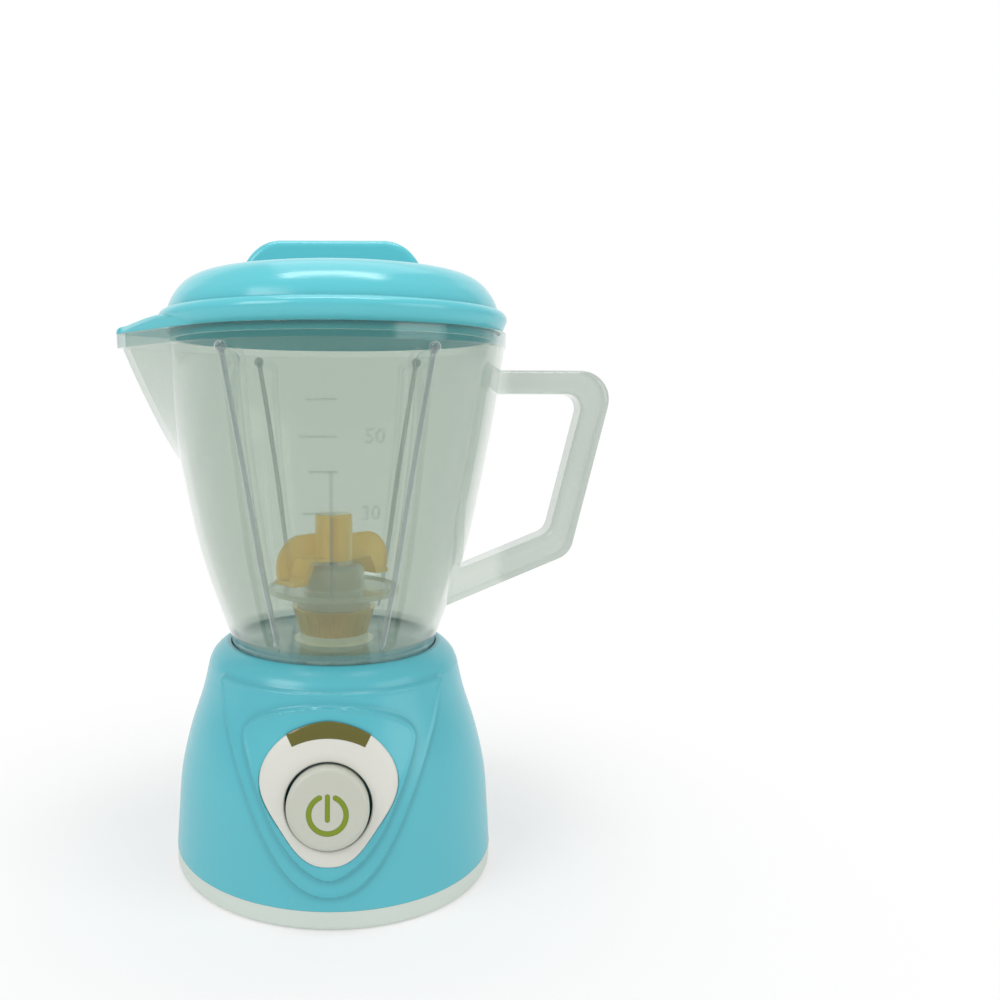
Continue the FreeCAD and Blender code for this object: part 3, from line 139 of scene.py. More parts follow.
# %% A finish that grows one node at a time
class Finish:
    """One material under construction."""

    def __init__(self, name):
        self.material = bpy.data.materials.new(name)
        self.material.use_nodes = True
        self.tree = self.material.node_tree
        self.tree.nodes.clear()
        self.output = self.tree.nodes.new("ShaderNodeOutputMaterial")

    def node(self, kind, settings=None, sockets=None, out=0):
        """Adds a node: its settings first, then its sockets, as values or as links."""
        made = self.tree.nodes.new(kind)
        for key, value in (settings or {}).items():
            setattr(made, key, value)
        for key, value in (sockets or {}).items():
            if isinstance(value, Signal):
                self.tree.links.new(value.socket, made.inputs[key])
            else:
                made.inputs[key].default_value = value
        return Signal(made.outputs[out])

    def mix(self, factor, first, second):
        """A blend of two colours."""
        return self.node("ShaderNodeMix", {"data_type": "RGBA"}, {0: factor, 6: first, 7: second}, out=2)

    def blend_shaders(self, factor, first, second):
        return self.node("ShaderNodeMixShader", None, {0: factor, 1: first, 2: second})

    def place(self):
        """Where a point of the piece is, in metres."""
        return self.node("ShaderNodeTexCoord", None, None, "Object")

    def measured(self, measure):
        """Where a point is along X, Y or Z, or its reach from the toy's upright middle line."""
        if measure == "reach":
            flat = self.node("ShaderNodeVectorMath", {"operation": "MULTIPLY"},
                             {0: self.place(), 1: (1, 1, 0)})
            return self.node("ShaderNodeVectorMath", {"operation": "LENGTH"}, {0: flat}, "Value")
        return self.node("ShaderNodeSeparateXYZ", None, {"Vector": self.place()}, measure)

    def noise(self, size, detail=2.0, roughness=0.5):
        """A cloud from 0 to 1 whose patches are about size metres across."""
        return self.node("ShaderNodeTexNoise", None,
                         {"Vector": self.place(), "Scale": 1 / size, "Detail": detail,
                          "Roughness": roughness})

    def soft_edges(self, radius):
        """The surface normal, with each sharp edge rounded by that radius in metres."""
        return self.node("ShaderNodeBevel", {"samples": 6}, {"Radius": radius})

    def bump(self, height, depth, strength=1.0, over=None):
        """A normal from a height field of that depth in metres, laid over another normal."""
        sockets = {"Strength": strength, "Distance": depth, "Height": height}
        if over:
            sockets["Normal"] = over
        return self.node("ShaderNodeBump", None, sockets)

    def done(self, shader):
        self.tree.links.new(shader.socket, self.output.inputs["Surface"])
        return self.material


print("a finish can now be written as a sum")


# %% [markdown]
# ## Moulded plastic
# The base and the lid are injection moulded. The steel mould was spark eroded, so the skin has a
# grain that is finer than a fingernail feels and only softens the highlights. The colour is mixed in
# with the pellets and drifts a little where the melt flowed. It could be painted as one flat colour,
# but then a large drum looks like card; three noise fields of different sizes cost little and carry
# over to other programs. No mould leaves a knife edge, so the Bevel node rounds each edge by 0.4 mm
# in the shading, and the edges catch the light as thin lines. In the inner corners, where less
# light comes in, an Ambient Occlusion node paints shade into the colour; on the housing this painted
# shade also gathers beside other pieces.

# %% Coloured and white plastic
def moulded_plastic(name, colour, shade, gloss=0.3, grain=0.00035, depth=0.000012, coat=0.0,
                    edge=0.0004, painted_shade=None, painted_shade_own_only=True):
    """A solid plastic: a colour that drifts to a shade, a gloss that drifts, and a fine grain.

    A painted shade colour, if given, darkens its inner corners where less light comes in, and where asked
    also the places beside other pieces."""
    finish = Finish(name)
    flow = finish.noise(0.03, 3.0)
    scuff = finish.noise(0.006, 4.0, 0.6)
    skin = finish.noise(grain, 2.0)
    rounded = finish.soft_edges(edge)
    skin_colour = finish.mix(flow * 0.3, colour, shade)
    # painted shade: where the Ambient Occlusion node finds little open room, the colour darkens
    if painted_shade:
        open_share = finish.node("ShaderNodeAmbientOcclusion", {"samples": 8, "only_local": painted_shade_own_only},
                                 {"Distance": 0.0025}, "AO")
        skin_colour = finish.mix((1 - open_share) * 1.6, skin_colour, painted_shade)
    sockets = {
        "Base Color": skin_colour,
        "Roughness": scuff * 0.06 + (gloss - 0.03),
        "Normal": finish.bump(skin, depth, 0.6, rounded),
        "IOR": 1.5,
    }
    if coat:
        sockets["Coat Weight"] = coat
        sockets["Coat Roughness"] = 0.12
    return finish.done(finish.node("ShaderNodeBsdfPrincipled", None, sockets))


# the colour given for the corners in each call below is painted shade; the housing's also lies beside other
# pieces
teal_shell = moulded_plastic("teal_shell_plastic", tint(90, 188, 201), tint(84, 182, 195), 0.26,
                             painted_shade=tint(14, 84, 98), painted_shade_own_only=False)
teal_lid = moulded_plastic("teal_lid_plastic", tint(96, 200, 211), tint(90, 194, 205), 0.18,
                           painted_shade=tint(40, 130, 146))
off_white = moulded_plastic("off_white_plastic", tint(220, 220, 212), tint(215, 214, 206), 0.36,
                            painted_shade=tint(140, 138, 124))
button_white = moulded_plastic("button_white_plastic", tint(196, 198, 186), tint(190, 191, 178), 0.36,
                               painted_shade=tint(120, 120, 104))
foot_white = moulded_plastic("foot_white_plastic", tint(212, 222, 214), tint(204, 214, 204), 0.42)
black_plastic = moulded_plastic("black_plastic", tint(34, 34, 36), tint(26, 27, 30), 0.4)
gear_plastic = moulded_plastic("gear_plastic", tint(236, 232, 216), tint(226, 221, 202), 0.33, 0.0005)
print("plastics:", teal_shell.name, teal_lid.name, off_white.name, button_white.name)


# %% [markdown]
# ## Clear plastic
# The jug is styrene, two millimetres thick, with a faint grey-green cast. Seen straight on, it lets
# most light through. Seen along the wall, the way through is long, so edges look milky. A full glass
# shader bends light as well, but thin toy styrene bends it very little, and a path tracer then spends
# its rays on black corners. Here a tinted see-through shader is covered by a glossy milky film, and
# the film thickens where the wall turns away from the eye. The way to a lamp is kept nearly free, as
# the Light Path node tells such a ray, so what is inside the jug isn't left in the dark.

# %% A clear wall with a milky film
def clear_plastic(name, pass_colour, film_colour, deep_colour, film=0.06, edge=0.7, turn=0.35,
                  gloss=0.09, mirror_share=0.035, thick_and_painted_parts=()):
    """A see-through tint under a film that grows from film to edge as the wall turns away.

    The film goes from a deep colour, seen straight on, to its own, and the skin mirrors the room
    like any gloss. Some parts are thicker walls and some carry painted light in the film; each is a
    measure ("X", "Z" or "reach" from the middle), the value where it starts, the value where it
    is full, the film added and the film's colour there."""
    finish = Finish(name)
    rounded = finish.bump(finish.noise(0.01, 2.0), 0.00002, 0.5, finish.soft_edges(0.0004))
    roughness = finish.noise(0.004, 3.0) * 0.04 + (gloss - 0.02)
    facing = finish.node("ShaderNodeLayerWeight", None, {"Blend": turn, "Normal": rounded}, "Facing")
    cover = facing * facing * (edge - film) + film
    colour = finish.mix(facing * 1.6, deep_colour, film_colour)
    # parts of thicker wall, and parts where the film carries painted light
    for measure, start, full, added, thick_and_painted_colour in thick_and_painted_parts:
        share = finish.node("ShaderNodeMapRange", None, {
            "Value": finish.measured(measure), "From Min": start, "From Max": full})
        cover = cover + share * added
        colour = finish.mix(share, colour, thick_and_painted_colour)
    passing = finish.node("ShaderNodeBsdfTransparent", None, {"Color": pass_colour})
    milky = finish.node("ShaderNodeBsdfPrincipled", None, {
        "Base Color": colour, "Roughness": roughness, "IOR": 1.5, "Normal": rounded})
    shine = finish.node("ShaderNodeBsdfPrincipled", None, {
        "Base Color": tint(250, 252, 250), "Metallic": 1.0, "Roughness": roughness, "Normal": rounded})
    slant = finish.node("ShaderNodeLayerWeight", None, {"Blend": 0.5, "Normal": rounded}, "Facing")
    mirror = slant * slant * slant * slant * 0.8 + mirror_share
    seen = finish.blend_shaders(mirror, finish.blend_shaders(cover, passing, milky), shine)
    free = finish.node("ShaderNodeBsdfTransparent", None, {"Color": tint(246, 248, 246)})
    lamp_way = finish.node("ShaderNodeLightPath", None, None, "Is Shadow Ray")
    return finish.done(finish.blend_shaders(lamp_way, seen, free))


jug_clear = clear_plastic("clear_jug_plastic", tint(238, 242, 238), tint(226, 234, 228),
                          tint(150, 164, 152), 0.09, 0.7,
                          thick_and_painted_parts=(("X", 0.052, 0.055, 0.2, tint(182, 192, 185)),
                                 # painted reflection: the jug's foot takes the teal of the base seen through
                                 # and mirrored in its floor
                                 ("Z", 0.0762, 0.0752, 0.24, tint(140, 192, 197)),
                                 # painted in: the band under the rim takes the teal of the lid's skirt as
                                 # seen through the wall
                                 ("Z", 0.1632, 0.164, -0.05, tint(60, 170, 180)),
                                 # painted light: the film within 13.5 mm of the middle is pale because too
                                 # little light reaches the neck and hub
                                 ("reach", 0.0135, 0.0125, 0.4, tint(246, 244, 216))))
rib_clear = clear_plastic("clear_rib_plastic", tint(234, 238, 238), tint(246, 250, 248),
                          tint(140, 152, 158), 0.18, 0.8, 0.45)
mark_clear = clear_plastic("clear_mark_plastic", tint(246, 248, 246), tint(226, 234, 228),
                           tint(150, 164, 152), 0.03, 0.2)
dish_clear = clear_plastic("clear_dish_plastic", tint(240, 242, 232), tint(232, 234, 220),
                           tint(214, 214, 190), 0.5)
window_olive = clear_plastic("olive_window_plastic", tint(150, 148, 50), tint(112, 106, 22),
                             tint(98, 94, 16), 0.8, 0.95)
lamp_clear = clear_plastic("lamp_plastic", tint(232, 228, 200), tint(226, 222, 196),
                           tint(226, 222, 196), 0.6, 0.9)
amber_clear = clear_plastic("amber_plastic", tint(255, 236, 170), tint(255, 232, 150),
                            tint(255, 208, 100), 0.45, 0.85)
print("clear plastics:", jug_clear.name, amber_clear.name, window_olive.name)


# %% [markdown]
# ## Metal
# The spindle and axles are drawn steel rod, the screws are plated, the springs are bright wire and
# the motor's can is pressed sheet. Drawn and turned metal has fine lines that run along the work,
# and they spread a highlight across it. A noise field squeezed in one direction is enough for them.

# %% Steel, spring wire, brass and the cell jackets
def drawn_metal(name, colour, shade, roughness, squeeze=(1.0, 1.0, 12.0)):
    """A metal whose fine lines run along x, y or z, whichever is squeezed most."""
    finish = Finish(name)
    turned = finish.node("ShaderNodeMapping", None, {"Vector": finish.place(), "Scale": squeeze})
    lines = finish.node("ShaderNodeTexNoise", None, {"Vector": turned, "Scale": 900.0, "Detail": 3.0})
    stain = finish.noise(0.008, 3.0)
    return finish.done(finish.node("ShaderNodeBsdfPrincipled", None, {
        "Base Color": finish.mix(stain * 0.6, colour, shade),
        "Metallic": 1.0,
        "Roughness": lines * 0.14 + (roughness - 0.07),
        "Normal": finish.bump(lines, 0.000006, 0.5),
    }))


steel = drawn_metal("bright_steel", tint(206, 206, 204), tint(184, 184, 184), 0.27)
satin_steel = drawn_metal("satin_steel", tint(238, 238, 232), tint(224, 224, 218), 0.5)
spring_steel = drawn_metal("spring_wire", tint(198, 196, 190), tint(170, 168, 162), 0.24)
brass = drawn_metal("turned_brass", tint(212, 178, 108), tint(190, 154, 86), 0.3)
cell_jacket = moulded_plastic("cell_jacket", tint(60, 92, 76), tint(50, 80, 66), 0.28, coat=0.3)
board_green = moulded_plastic("board_green", tint(44, 104, 66), tint(36, 92, 56), 0.3, coat=0.4)
print("metals:", steel.name, spring_steel.name, brass.name)


# %% [markdown]
# ## Who wears what
# Every solid of the frame gets one of these finishes. The names say which piece of the toy it is, so
# the list below reads as the toy's own parts list.

# %% Hand out the finishes
wardrobe = {
    teal_shell: ["base_housing"],
    teal_lid: ["lid"],
    off_white: ["control_panel"],
    button_white: ["power_button"],
    foot_white: ["base_plate", "battery_door"],
    jug_clear: ["jug"],
    dish_clear: ["splash_dish"],
    amber_clear: ["blade", "blade_collar"],
    window_olive: ["indicator_window"],
    lamp_clear: ["indicator_lights"],
    black_plastic: ["push_switch", "motor_end_cap"],
    gear_plastic: ["drive_coupler", "driven_coupler", "middle_gear", "output_gear", "gear_case",
                   "gear_case_cover", "switch_plunger"],
    steel: ["plate_screws", "battery_door_screws", "board_screws", "gear_case_screws", "motor_can",
            "motor_shaft", "middle_axle", "output_shaft"],
    satin_steel: ["spindle"],
    spring_steel: ["button_spring", "battery_contact_springs", "battery_contact_plates"],
    brass: ["motor_pinion", "motor_terminals", "output_bush", "spindle_bush"],
    cell_jacket: ["battery_cell_left", "battery_cell_right"],
    board_green: ["circuit_board"],
}


def wear(piece, material):
    """Puts one material in every slot of a piece."""
    if not piece.material_slots:
        piece.data.materials.append(material)
    for place in piece.material_slots:
        place.material = material


for material, names in wardrobe.items():
    for name in names:
        wear(nodes[name], material)
undressed = sorted(set(nodes) - {name for names in wardrobe.values() for name in names})
print("pieces without a finish:", undressed)


# %% [markdown]
# ## From rows of points to a piece
# The moulded pieces below are all made in one way. A rule works out rows of points, faces are set
# between each row and the next, and the skin becomes a piece that rides on one body of the frame,
# in some cases in the place of a plainer one. These functions do that for all of them.

# %% Smooth lines, skins and finished pieces
mm = 0.001


def curve_points(before, here, there, after, steps):
    """Points on a smooth curve that starts at here and ends one step short of there."""
    points = []
    for step in range(steps):
        t = step / steps
        points.append(0.5 * ((2 * here) + (there - before) * t
                             + (2 * before - 5 * here + 4 * there - after) * t * t
                             + (3 * here - before - 3 * there + after) * t ** 3))
    return points


def smooth_line(corners, steps):
    """Points on a smooth curve through some corners."""
    corners = [Vector(corner) for corner in corners]
    befores, afters = corners[:1] + corners, corners[2:] + corners[-1:]
    points = []
    for before, here, there, after in zip(befores, corners, corners[1:], afters):
        points += curve_points(before, here, there, after, steps)
    return points + corners[-1:]


def closed_outline(half, steps):
    """A smooth closed outline from the corners of its right half, top point first."""
    corners = [Vector(point) for point in half] + [Vector((-x, y)) for x, y in half[-2:0:-1]]
    points = []
    for index, here in enumerate(corners):
        there, after = (corners[(index + shift) % len(corners)] for shift in (1, 2))
        points += curve_points(corners[index - 1], here, there, after, steps)
    return points


def level_at(stations, value):
    """The level at a value, on straight lines through stations of value and level."""
    if value <= stations[0][0]:
        return stations[0][1]
    for (start, first), (stop, second) in zip(stations, stations[1:]):
        if value <= stop:
            return first + (second - first) * (value - start) / (stop - start)
    return stations[-1][1]


def join_rows(form, rows, around=True, ends="open"):
    """Sets faces between rows of vertices; the end rows stay open, are capped or are joined."""
    pairs = list(zip(rows, rows[1:]))
    if ends == "joined":
        pairs.append((rows[-1], rows[0]))
    for low, high in pairs:
        for index in range(len(low) if around else len(low) - 1):
            after = (index + 1) % len(low)
            form.faces.new((low[index], low[after], high[after], high[index]))
    if ends == "capped":
        form.faces.new(rows[0][::-1])
        form.faces.new(rows[-1])


def placed(name, data):
    """A new object of the scene with that mesh, curve, lamp or camera."""
    thing = bpy.data.objects.new(name, data)
    bpy.context.collection.objects.link(thing)
    return thing


def skin_mesh(form, name, sharp=None):
    """A mesh from a bmesh, facing outwards: flat, or smooth up to edges of that many degrees."""
    bmesh.ops.recalc_face_normals(form, faces=form.faces)
    mesh = bpy.data.meshes.new(name)
    form.to_mesh(mesh)
    form.free()
    if sharp:
        for face in mesh.polygons:
            face.use_smooth = True
        mesh.set_sharp_from_angle(angle=math.radians(sharp))
    return mesh


def dressed(piece, material, body, replaced=None):
    """Gives a piece its material and slot, and lets it ride on a body and stand for a node."""
    wear(piece, material)
    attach(piece, body)
    if replaced:
        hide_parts(replaced)
    return piece


def finished_piece(form, name, material, body, replaced=None, sharp=None):
    """Turns a bmesh into a dressed piece."""
    return dressed(placed(name, skin_mesh(form, name, sharp)), material, body, replaced)


print("a smooth line of three corners has", len(smooth_line(((0, 0), (1, 1), (2, 0)), 4)), "points")


# %% [markdown]
# ## The lid
# The lid is one moulding: a shallow dome with a full shoulder, a rounded flange that rests on the
# jug's rim, a flat grip across the top, and a small domed cover that runs out over the spout. The
# frame's own lid is a plainer form of it, so this one takes its place. Three closed skins make it,
# each by the method that suits its shape: the dome is a section turned round the middle, the grip is
# an outline stacked through its thickness with a rounded rim, and the spout's cover is a sheet of
# points whose height is worked out from the distance to its edge.

# %% The dome: a section turned round the middle, in mm
flange_low = 167.5
flange_top = 173.7
flange_radius = 52.0
flange_edge = 2.6
flange_steps = 8
flange_arc = []
for step in range(flange_steps + 1):
    angle = math.radians(90 * step / flange_steps)
    flange_arc.append(Vector((flange_radius - flange_edge + flange_edge * math.cos(angle),
                              flange_top - flange_edge + flange_edge * math.sin(angle))))
crown_corners = [(49.4, 173.7), (48.9, 175.0), (48.1, 176.8), (46.9, 178.6), (45.3, 180.5), (43.0, 182.3),
                 (40.0, 183.6), (36.0, 184.4), (31.0, 184.75), (25.0, 184.85), (12.0, 184.9)]
skirt_outer = 48.9
skirt_inner = 47.1
skirt_low = 165.6
under_flange = [(skirt_inner, skirt_low), (skirt_outer, skirt_low), (skirt_outer, flange_low),
                (50.3, flange_low), (50.7, flange_low + 0.3)]
inner_side = [(12.0, 182.85), (29.0, 182.7), (37.0, 181.4), (42.0, 178.9), (45.0, 175.5), (46.6, 172.0),
              (skirt_inner, 171.0)]
outer_side = [Vector(corner) for corner in under_flange] + flange_arc + smooth_line(crown_corners, 3)[1:]
lid_section = outer_side + [Vector(corner) for corner in inner_side]

lid_form = bmesh.new()
dome_steps = 128
dome_turns = [2 * math.pi * step / dome_steps for step in range(dome_steps)]
dome_rings = []
for point in lid_section:
    dome_rings.append([lid_form.verts.new((point.x * mm * math.cos(turn), point.x * mm * math.sin(turn),
                                           point.y * mm)) for turn in dome_turns])
inside = len(outer_side)
join_rows(lid_form, dome_rings[inside:] + dome_rings[:inside])
for ring in dome_rings[inside - 1:inside + 1]:
    pole = lid_form.verts.new((0, 0, ring[0].co.z))
    for here, there in zip(ring, ring[1:] + ring[:1]):
        lid_form.faces.new((here, there, pole))
print("corners of the lid's section:", len(lid_section), "faces of the dome:", len(lid_form.faces))

# %% The grip
grip_corners = [(26.65, 183.4), (26.4, 184.3), (25.9, 185.5), (25.2, 187.3), (23.4, 189.7), (20.9, 191.8),
                (18.2, 193.0), (15.5, 193.5)]
grip_half_thickness = 9.5
grip_rounding = 2.1
round_steps = 6
right_side = smooth_line(grip_corners, 3)
grip_outline = right_side + [Vector((-point.x, point.y)) for point in reversed(right_side)]


def drawn_in(outline, distance, floor_level):
    """An outline moved inwards by a distance, with its foot kept at one level."""
    moved = []
    last = len(outline) - 1
    for index, point in enumerate(outline):
        along = (outline[min(index + 1, last)] - outline[max(index - 1, 0)]).normalized()
        spot = point + Vector((-along.y, along.x)) * distance
        moved.append(Vector((spot.x, max(spot.y, floor_level) if 0 < index < last else floor_level)))
    return moved


grip_rings = []
quarter_turn = [math.pi / 2 * step / round_steps for step in range(round_steps + 1)]
for side, angles in ((-1, quarter_turn), (1, quarter_turn[::-1])):
    for angle in angles:
        depth = side * (grip_half_thickness - grip_rounding + grip_rounding * math.cos(angle))
        ring = drawn_in(grip_outline, grip_rounding * (1 - math.sin(angle)), grip_corners[0][1])
        grip_rings.append([lid_form.verts.new((point.x * mm, depth * mm, point.y * mm)) for point in ring])
join_rows(lid_form, grip_rings, ends="capped")
print("rings of the grip:", len(grip_rings))

# %% The cover over the spout
cover_foot = Vector((-39.5, 32.8))
cover_slope = Vector((-0.769, 0.639))
nose_middle = Vector((-60.3, 0.0))
nose_radius = 5.58
nose_turn = math.atan2(cover_slope.y, -cover_slope.x)
cover_rounding = 1.3
rounding_share = 0.8       # of the cover's thickness, where that is less
cover_crown = 0.9
cover_low = flange_low + 0.02
cover_heights = ((-66.0, 168.3), (-63.1, 168.9), (-59.3, 169.9), (-53.8, 170.9), (-50.3, 171.3),
                 (-47.4, 171.4), (-40.0, 171.5))


def edge_distance(x, y):
    """How far a point of the cover is inside its outline, in mm."""
    past = Vector((x, abs(y))) - nose_middle
    if past.x < 0 and abs(math.atan2(past.y, -past.x)) < nose_turn:
        return nose_radius - past.length
    return -cover_slope.dot(Vector((x, abs(y))) - cover_foot)


def cover_top(x, y):
    """The height of the cover's skin over a point, in mm."""
    half = max(cover_foot.y + (cover_foot.x - x) * cover_slope.x / cover_slope.y, nose_radius)
    level = level_at(cover_heights, x) + cover_crown * (1 - min(abs(y) / half, 1.0) ** 2)
    rounding = min(cover_rounding, (level - flange_low) * rounding_share)
    inside = max(min(edge_distance(x, y), rounding), 0.0)
    return level - rounding + math.sqrt(max(rounding ** 2 - (rounding - inside) ** 2, 0.0))


# The edge runs out of the flange, along the straight side, round the nose and back.
lead_steps = 4
lead_turn = math.radians(12)
lead_reach = 49.8
side_steps = 16
edge_points = []
foot_turn = math.atan2(cover_foot.y, cover_foot.x)
for step in range(lead_steps):
    angle = foot_turn - lead_turn * (1 - step / lead_steps)
    reach = lead_reach + (cover_foot.length - lead_reach) * step / lead_steps
    edge_points.append(Vector((math.cos(angle), math.sin(angle))) * reach)
tangent = nose_middle + cover_slope * nose_radius
for step in range(side_steps + 1):
    edge_points.append(cover_foot + (tangent - cover_foot) * step / side_steps)
one_side = list(edge_points)
for step in range(1, side_steps):
    angle = nose_turn * (1 - 2 * step / side_steps)
    edge_points.append(nose_middle + Vector((-math.cos(angle), math.sin(angle))) * nose_radius)
edge_points += [Vector((point.x, -point.y)) for point in reversed(one_side)]

ring_reach = 48.2          # each row starts on this radius, inside the flange
least_row = 0.5
shares = (0.0, 0.2, 0.4, 0.6, 0.75, 0.85, 0.91, 0.95, 0.975, 0.99, 1.0)
top_rows, low_rows = [], []
for edge_point in edge_points:
    start = edge_point.normalized() * min(ring_reach, edge_point.length - least_row)
    line = [start + (edge_point - start) * share for share in shares]
    for rows, levels in ((top_rows, [cover_top(spot.x, spot.y) for spot in line]),
                         (low_rows, [cover_low] * len(line))):
        rows.append([lid_form.verts.new((spot.x * mm, spot.y * mm, level * mm))
                     for spot, level in zip(line, levels)])
join_rows(lid_form, top_rows, around=False)
join_rows(lid_form, low_rows, around=False)
for end in (0, -1):
    join_rows(lid_form, ([row[end] for row in top_rows], [row[end] for row in low_rows]), around=False)
    join_rows(lid_form, (top_rows[end], low_rows[end]), around=False)
print("rows of the cover:", len(edge_points))

# %% One piece that takes the lid's place
moulded_lid = finished_piece(lid_form, "moulded_lid", teal_lid, "lid", "lid", sharp=35)
print("faces of the lid:", len(moulded_lid.data.polygons))


# %% [markdown]
# ## The housing
# The drum of the base is one moulding with low relief on its front: an apron that hangs from the
# shoulder, and a rounded shield on it that frames the white panel. Pads cut from solids would give
# it hard corners. A mould maker softens every step, so here the skin is a fine grid of points round
# the drum, and each point is pushed out by a rule: how deep it lies inside the outline of the apron
# and of the shield. The same rule seats the panel, and the socket for the jug is part of the section.

# %% Outlines and the plain side, in mm
seam_height = 6.2
crease_height = 66.8
housing_corners = [(52.0, 6.2), (51.0, 18.02), (49.7, 31.05), (46.68, 44.01), (42.32, 57.1), (39.9, 66.8)]
housing_side = [(point.y, point.x) for point in smooth_line(housing_corners, 12)]
panel_lean = math.radians(12.5)
panel_height = 37.3
apron_raise = 0.9
shield_raise = 1.0
panel_raise = 0.35
panel_proud = apron_raise + shield_raise + panel_raise
panel_front = level_at(housing_side, panel_height) + panel_proud
pick = closed_outline(((0, 23.5), (6.8, 22.1), (13.2, 18.7), (18.1, 12.8), (19.7, 6.6), (18.2, 0.6),
                       (13.5, -6.8), (8.8, -13.2), (4.6, -16.3), (0, -17.1)), 4)
shield = closed_outline(((0, 27.8), (8.5, 27.2), (15.9, 25.7), (20.8, 23.7), (23.5, 21.0), (23.9, 17.6),
                         (22.6, 12.2), (19.5, 3.3), (14.3, -8.3), (7.7, -16.9), (0, -20.9)), 4)
apron = closed_outline(((0, 41.0), (33.9, 38.6), (32.6, 33.0), (30.0, 20.5), (24.1, 3.4), (16.3, -13.8),
                        (8.4, -23.5), (0, -26.2)), 4)
print("panel's middle stands", round(panel_front, 2), "mm in front of the toy's middle")


# %% How deep a point lies in an outline
def depth_inside(outline, x, y, far=3.0):
    """Distance from a point to an outline, above zero inside it and never more than far."""
    inside = False
    nearest = far * far
    ahead_x, ahead_y = outline[-1]
    for here_x, here_y in outline:
        crosses = (here_y > y) != (ahead_y > y)
        if crosses and x < here_x + (ahead_x - here_x) * (y - here_y) / (ahead_y - here_y):
            inside = not inside
        run_x, run_y = ahead_x - here_x, ahead_y - here_y
        share = ((x - here_x) * run_x + (y - here_y) * run_y) / (run_x * run_x + run_y * run_y)
        share = min(max(share, 0.0), 1.0)
        off_x, off_y = x - here_x - run_x * share, y - here_y - run_y * share
        nearest = min(nearest, off_x * off_x + off_y * off_y)
        ahead_x, ahead_y = here_x, here_y
    return math.sqrt(nearest) if inside else -math.sqrt(nearest)


def eased(value):
    """0 below 0, 1 above 1, and a smooth rise between."""
    value = min(max(value, 0.0), 1.0)
    return value * value * (3 - 2 * value)


bead_height = 0.28
bead_width = 0.45


def edge_bead(depth):
    """The fine bead that the mould leaves along a raised edge."""
    return bead_height * math.exp(-((depth - bead_width) / bead_width) ** 2)


pick_line, shield_line, apron_line = ([(point.x, point.y) for point in outline]
                                      for outline in (pick, shield, apron))
step_width = 0.8           # over which a raised edge rises
apron_top = 67.1           # where the apron runs out under the shoulder's crease
fade_top, fade_depth = 67.3, 0.7   # where the relief fades out under the crease
bed_depth = 3.2            # the skin sinks this far under the panel
bed_inset = 0.7
apron_limits = (37, -28)   # half the width, and the lowest level, that the relief can reach
shield_limits = (26, 30)   # half the width, and the highest level, that the shield can reach
pick_limits = (20, 24)


def relief(x, y, height):
    """How far the skin stands out from the plain side at a point of the front, in mm."""
    up = (y + panel_front) * math.sin(panel_lean) + (height - panel_height) * math.cos(panel_lean)
    if abs(x) > apron_limits[0] or y > 0 or up < apron_limits[1]:
        return 0.0
    depth = min(depth_inside(apron_line, x, up), (apron_top - height) / math.cos(panel_lean))
    raised = apron_raise * eased(depth / step_width + 0.5) + edge_bead(depth)
    raised *= eased((fade_top - height) / fade_depth)
    if abs(x) < shield_limits[0] and up < shield_limits[1]:
        depth = depth_inside(shield_line, x, up)
        raised += shield_raise * eased(depth / step_width + 0.5) + edge_bead(depth)
    if abs(x) < pick_limits[0] and up < pick_limits[1]:
        raised -= bed_depth * eased((depth_inside(pick_line, x, up) - bed_inset) / step_width)
    return raised


print("relief in the middle of the apron's side:", round(relief(27.0, -40.0, 45.0), 2))

# %% The skin of the drum
front_half = 54.0          # degrees to each side that have the finer columns
front_columns = 216
back_columns = 72
columns = [-front_half + 2 * front_half * index / front_columns for index in range(front_columns)]
columns += [front_half + (360 - 2 * front_half) * index / back_columns for index in range(back_columns)]
side_rows = 136
row_heights = [seam_height + (crease_height - seam_height) * row / side_rows for row in range(side_rows + 1)]
outer_rows = [(level_at(housing_side, height), height) for height in row_heights]
shoulder_rows = [(point.x, point.y) for point in
                 smooth_line([(39.9, 66.8), (38.9, 69.0), (37.5, 70.7), (35.9, 72.1), (34.3, 73.0)], 4)[1:]]
relieved_rows = len(outer_rows) + 6
socket_rows = [(33.0, 73.0), (33.0, 64.0), (12.5, 64.0), (12.5, 60.4), (3.4, 60.4), (3.4, 58.2), (14.7, 58.2),
               (14.7, 61.8), (35.2, 61.8)]
inside_rows = [(37.6, 64.2), (40.0, 57.0), (44.4, 44.0), (47.4, 31.0), (48.8, 18.0), (49.8, 6.2)]
housing_form = bmesh.new()
housing_rings = []
for row, (radius, height) in enumerate(outer_rows + shoulder_rows + socket_rows + inside_rows):
    ring = []
    for column in columns:
        turn = math.radians(column)
        reach = radius
        if row < relieved_rows and abs(column) < front_half:
            reach += relief(radius * math.sin(turn), -radius * math.cos(turn), height)
        ring.append(housing_form.verts.new((reach * math.sin(turn) * mm, -reach * math.cos(turn) * mm,
                                            height * mm)))
    housing_rings.append(ring)
join_rows(housing_form, housing_rings, ends="joined")
moulded_housing = finished_piece(housing_form, "moulded_housing", teal_shell, "base",
                                 "base_housing", sharp=50)
print("housing columns:", len(columns), "faces:", len(moulded_housing.data.polygons))


# %% [markdown]
# ## The panel and its window
# The white panel follows the drum's curve inside the shield, with a round hole for the button. It is
# drawn as rings between the hole and its outline, which keeps the rim even, and each point is laid
# on the drum's own curve. The dark green window is a thin curved pane on the panel's upper edge.

# %% Points on the panel's face
settling_steps = 4         # each step comes closer to the drum's curve
least_slant = 0.3


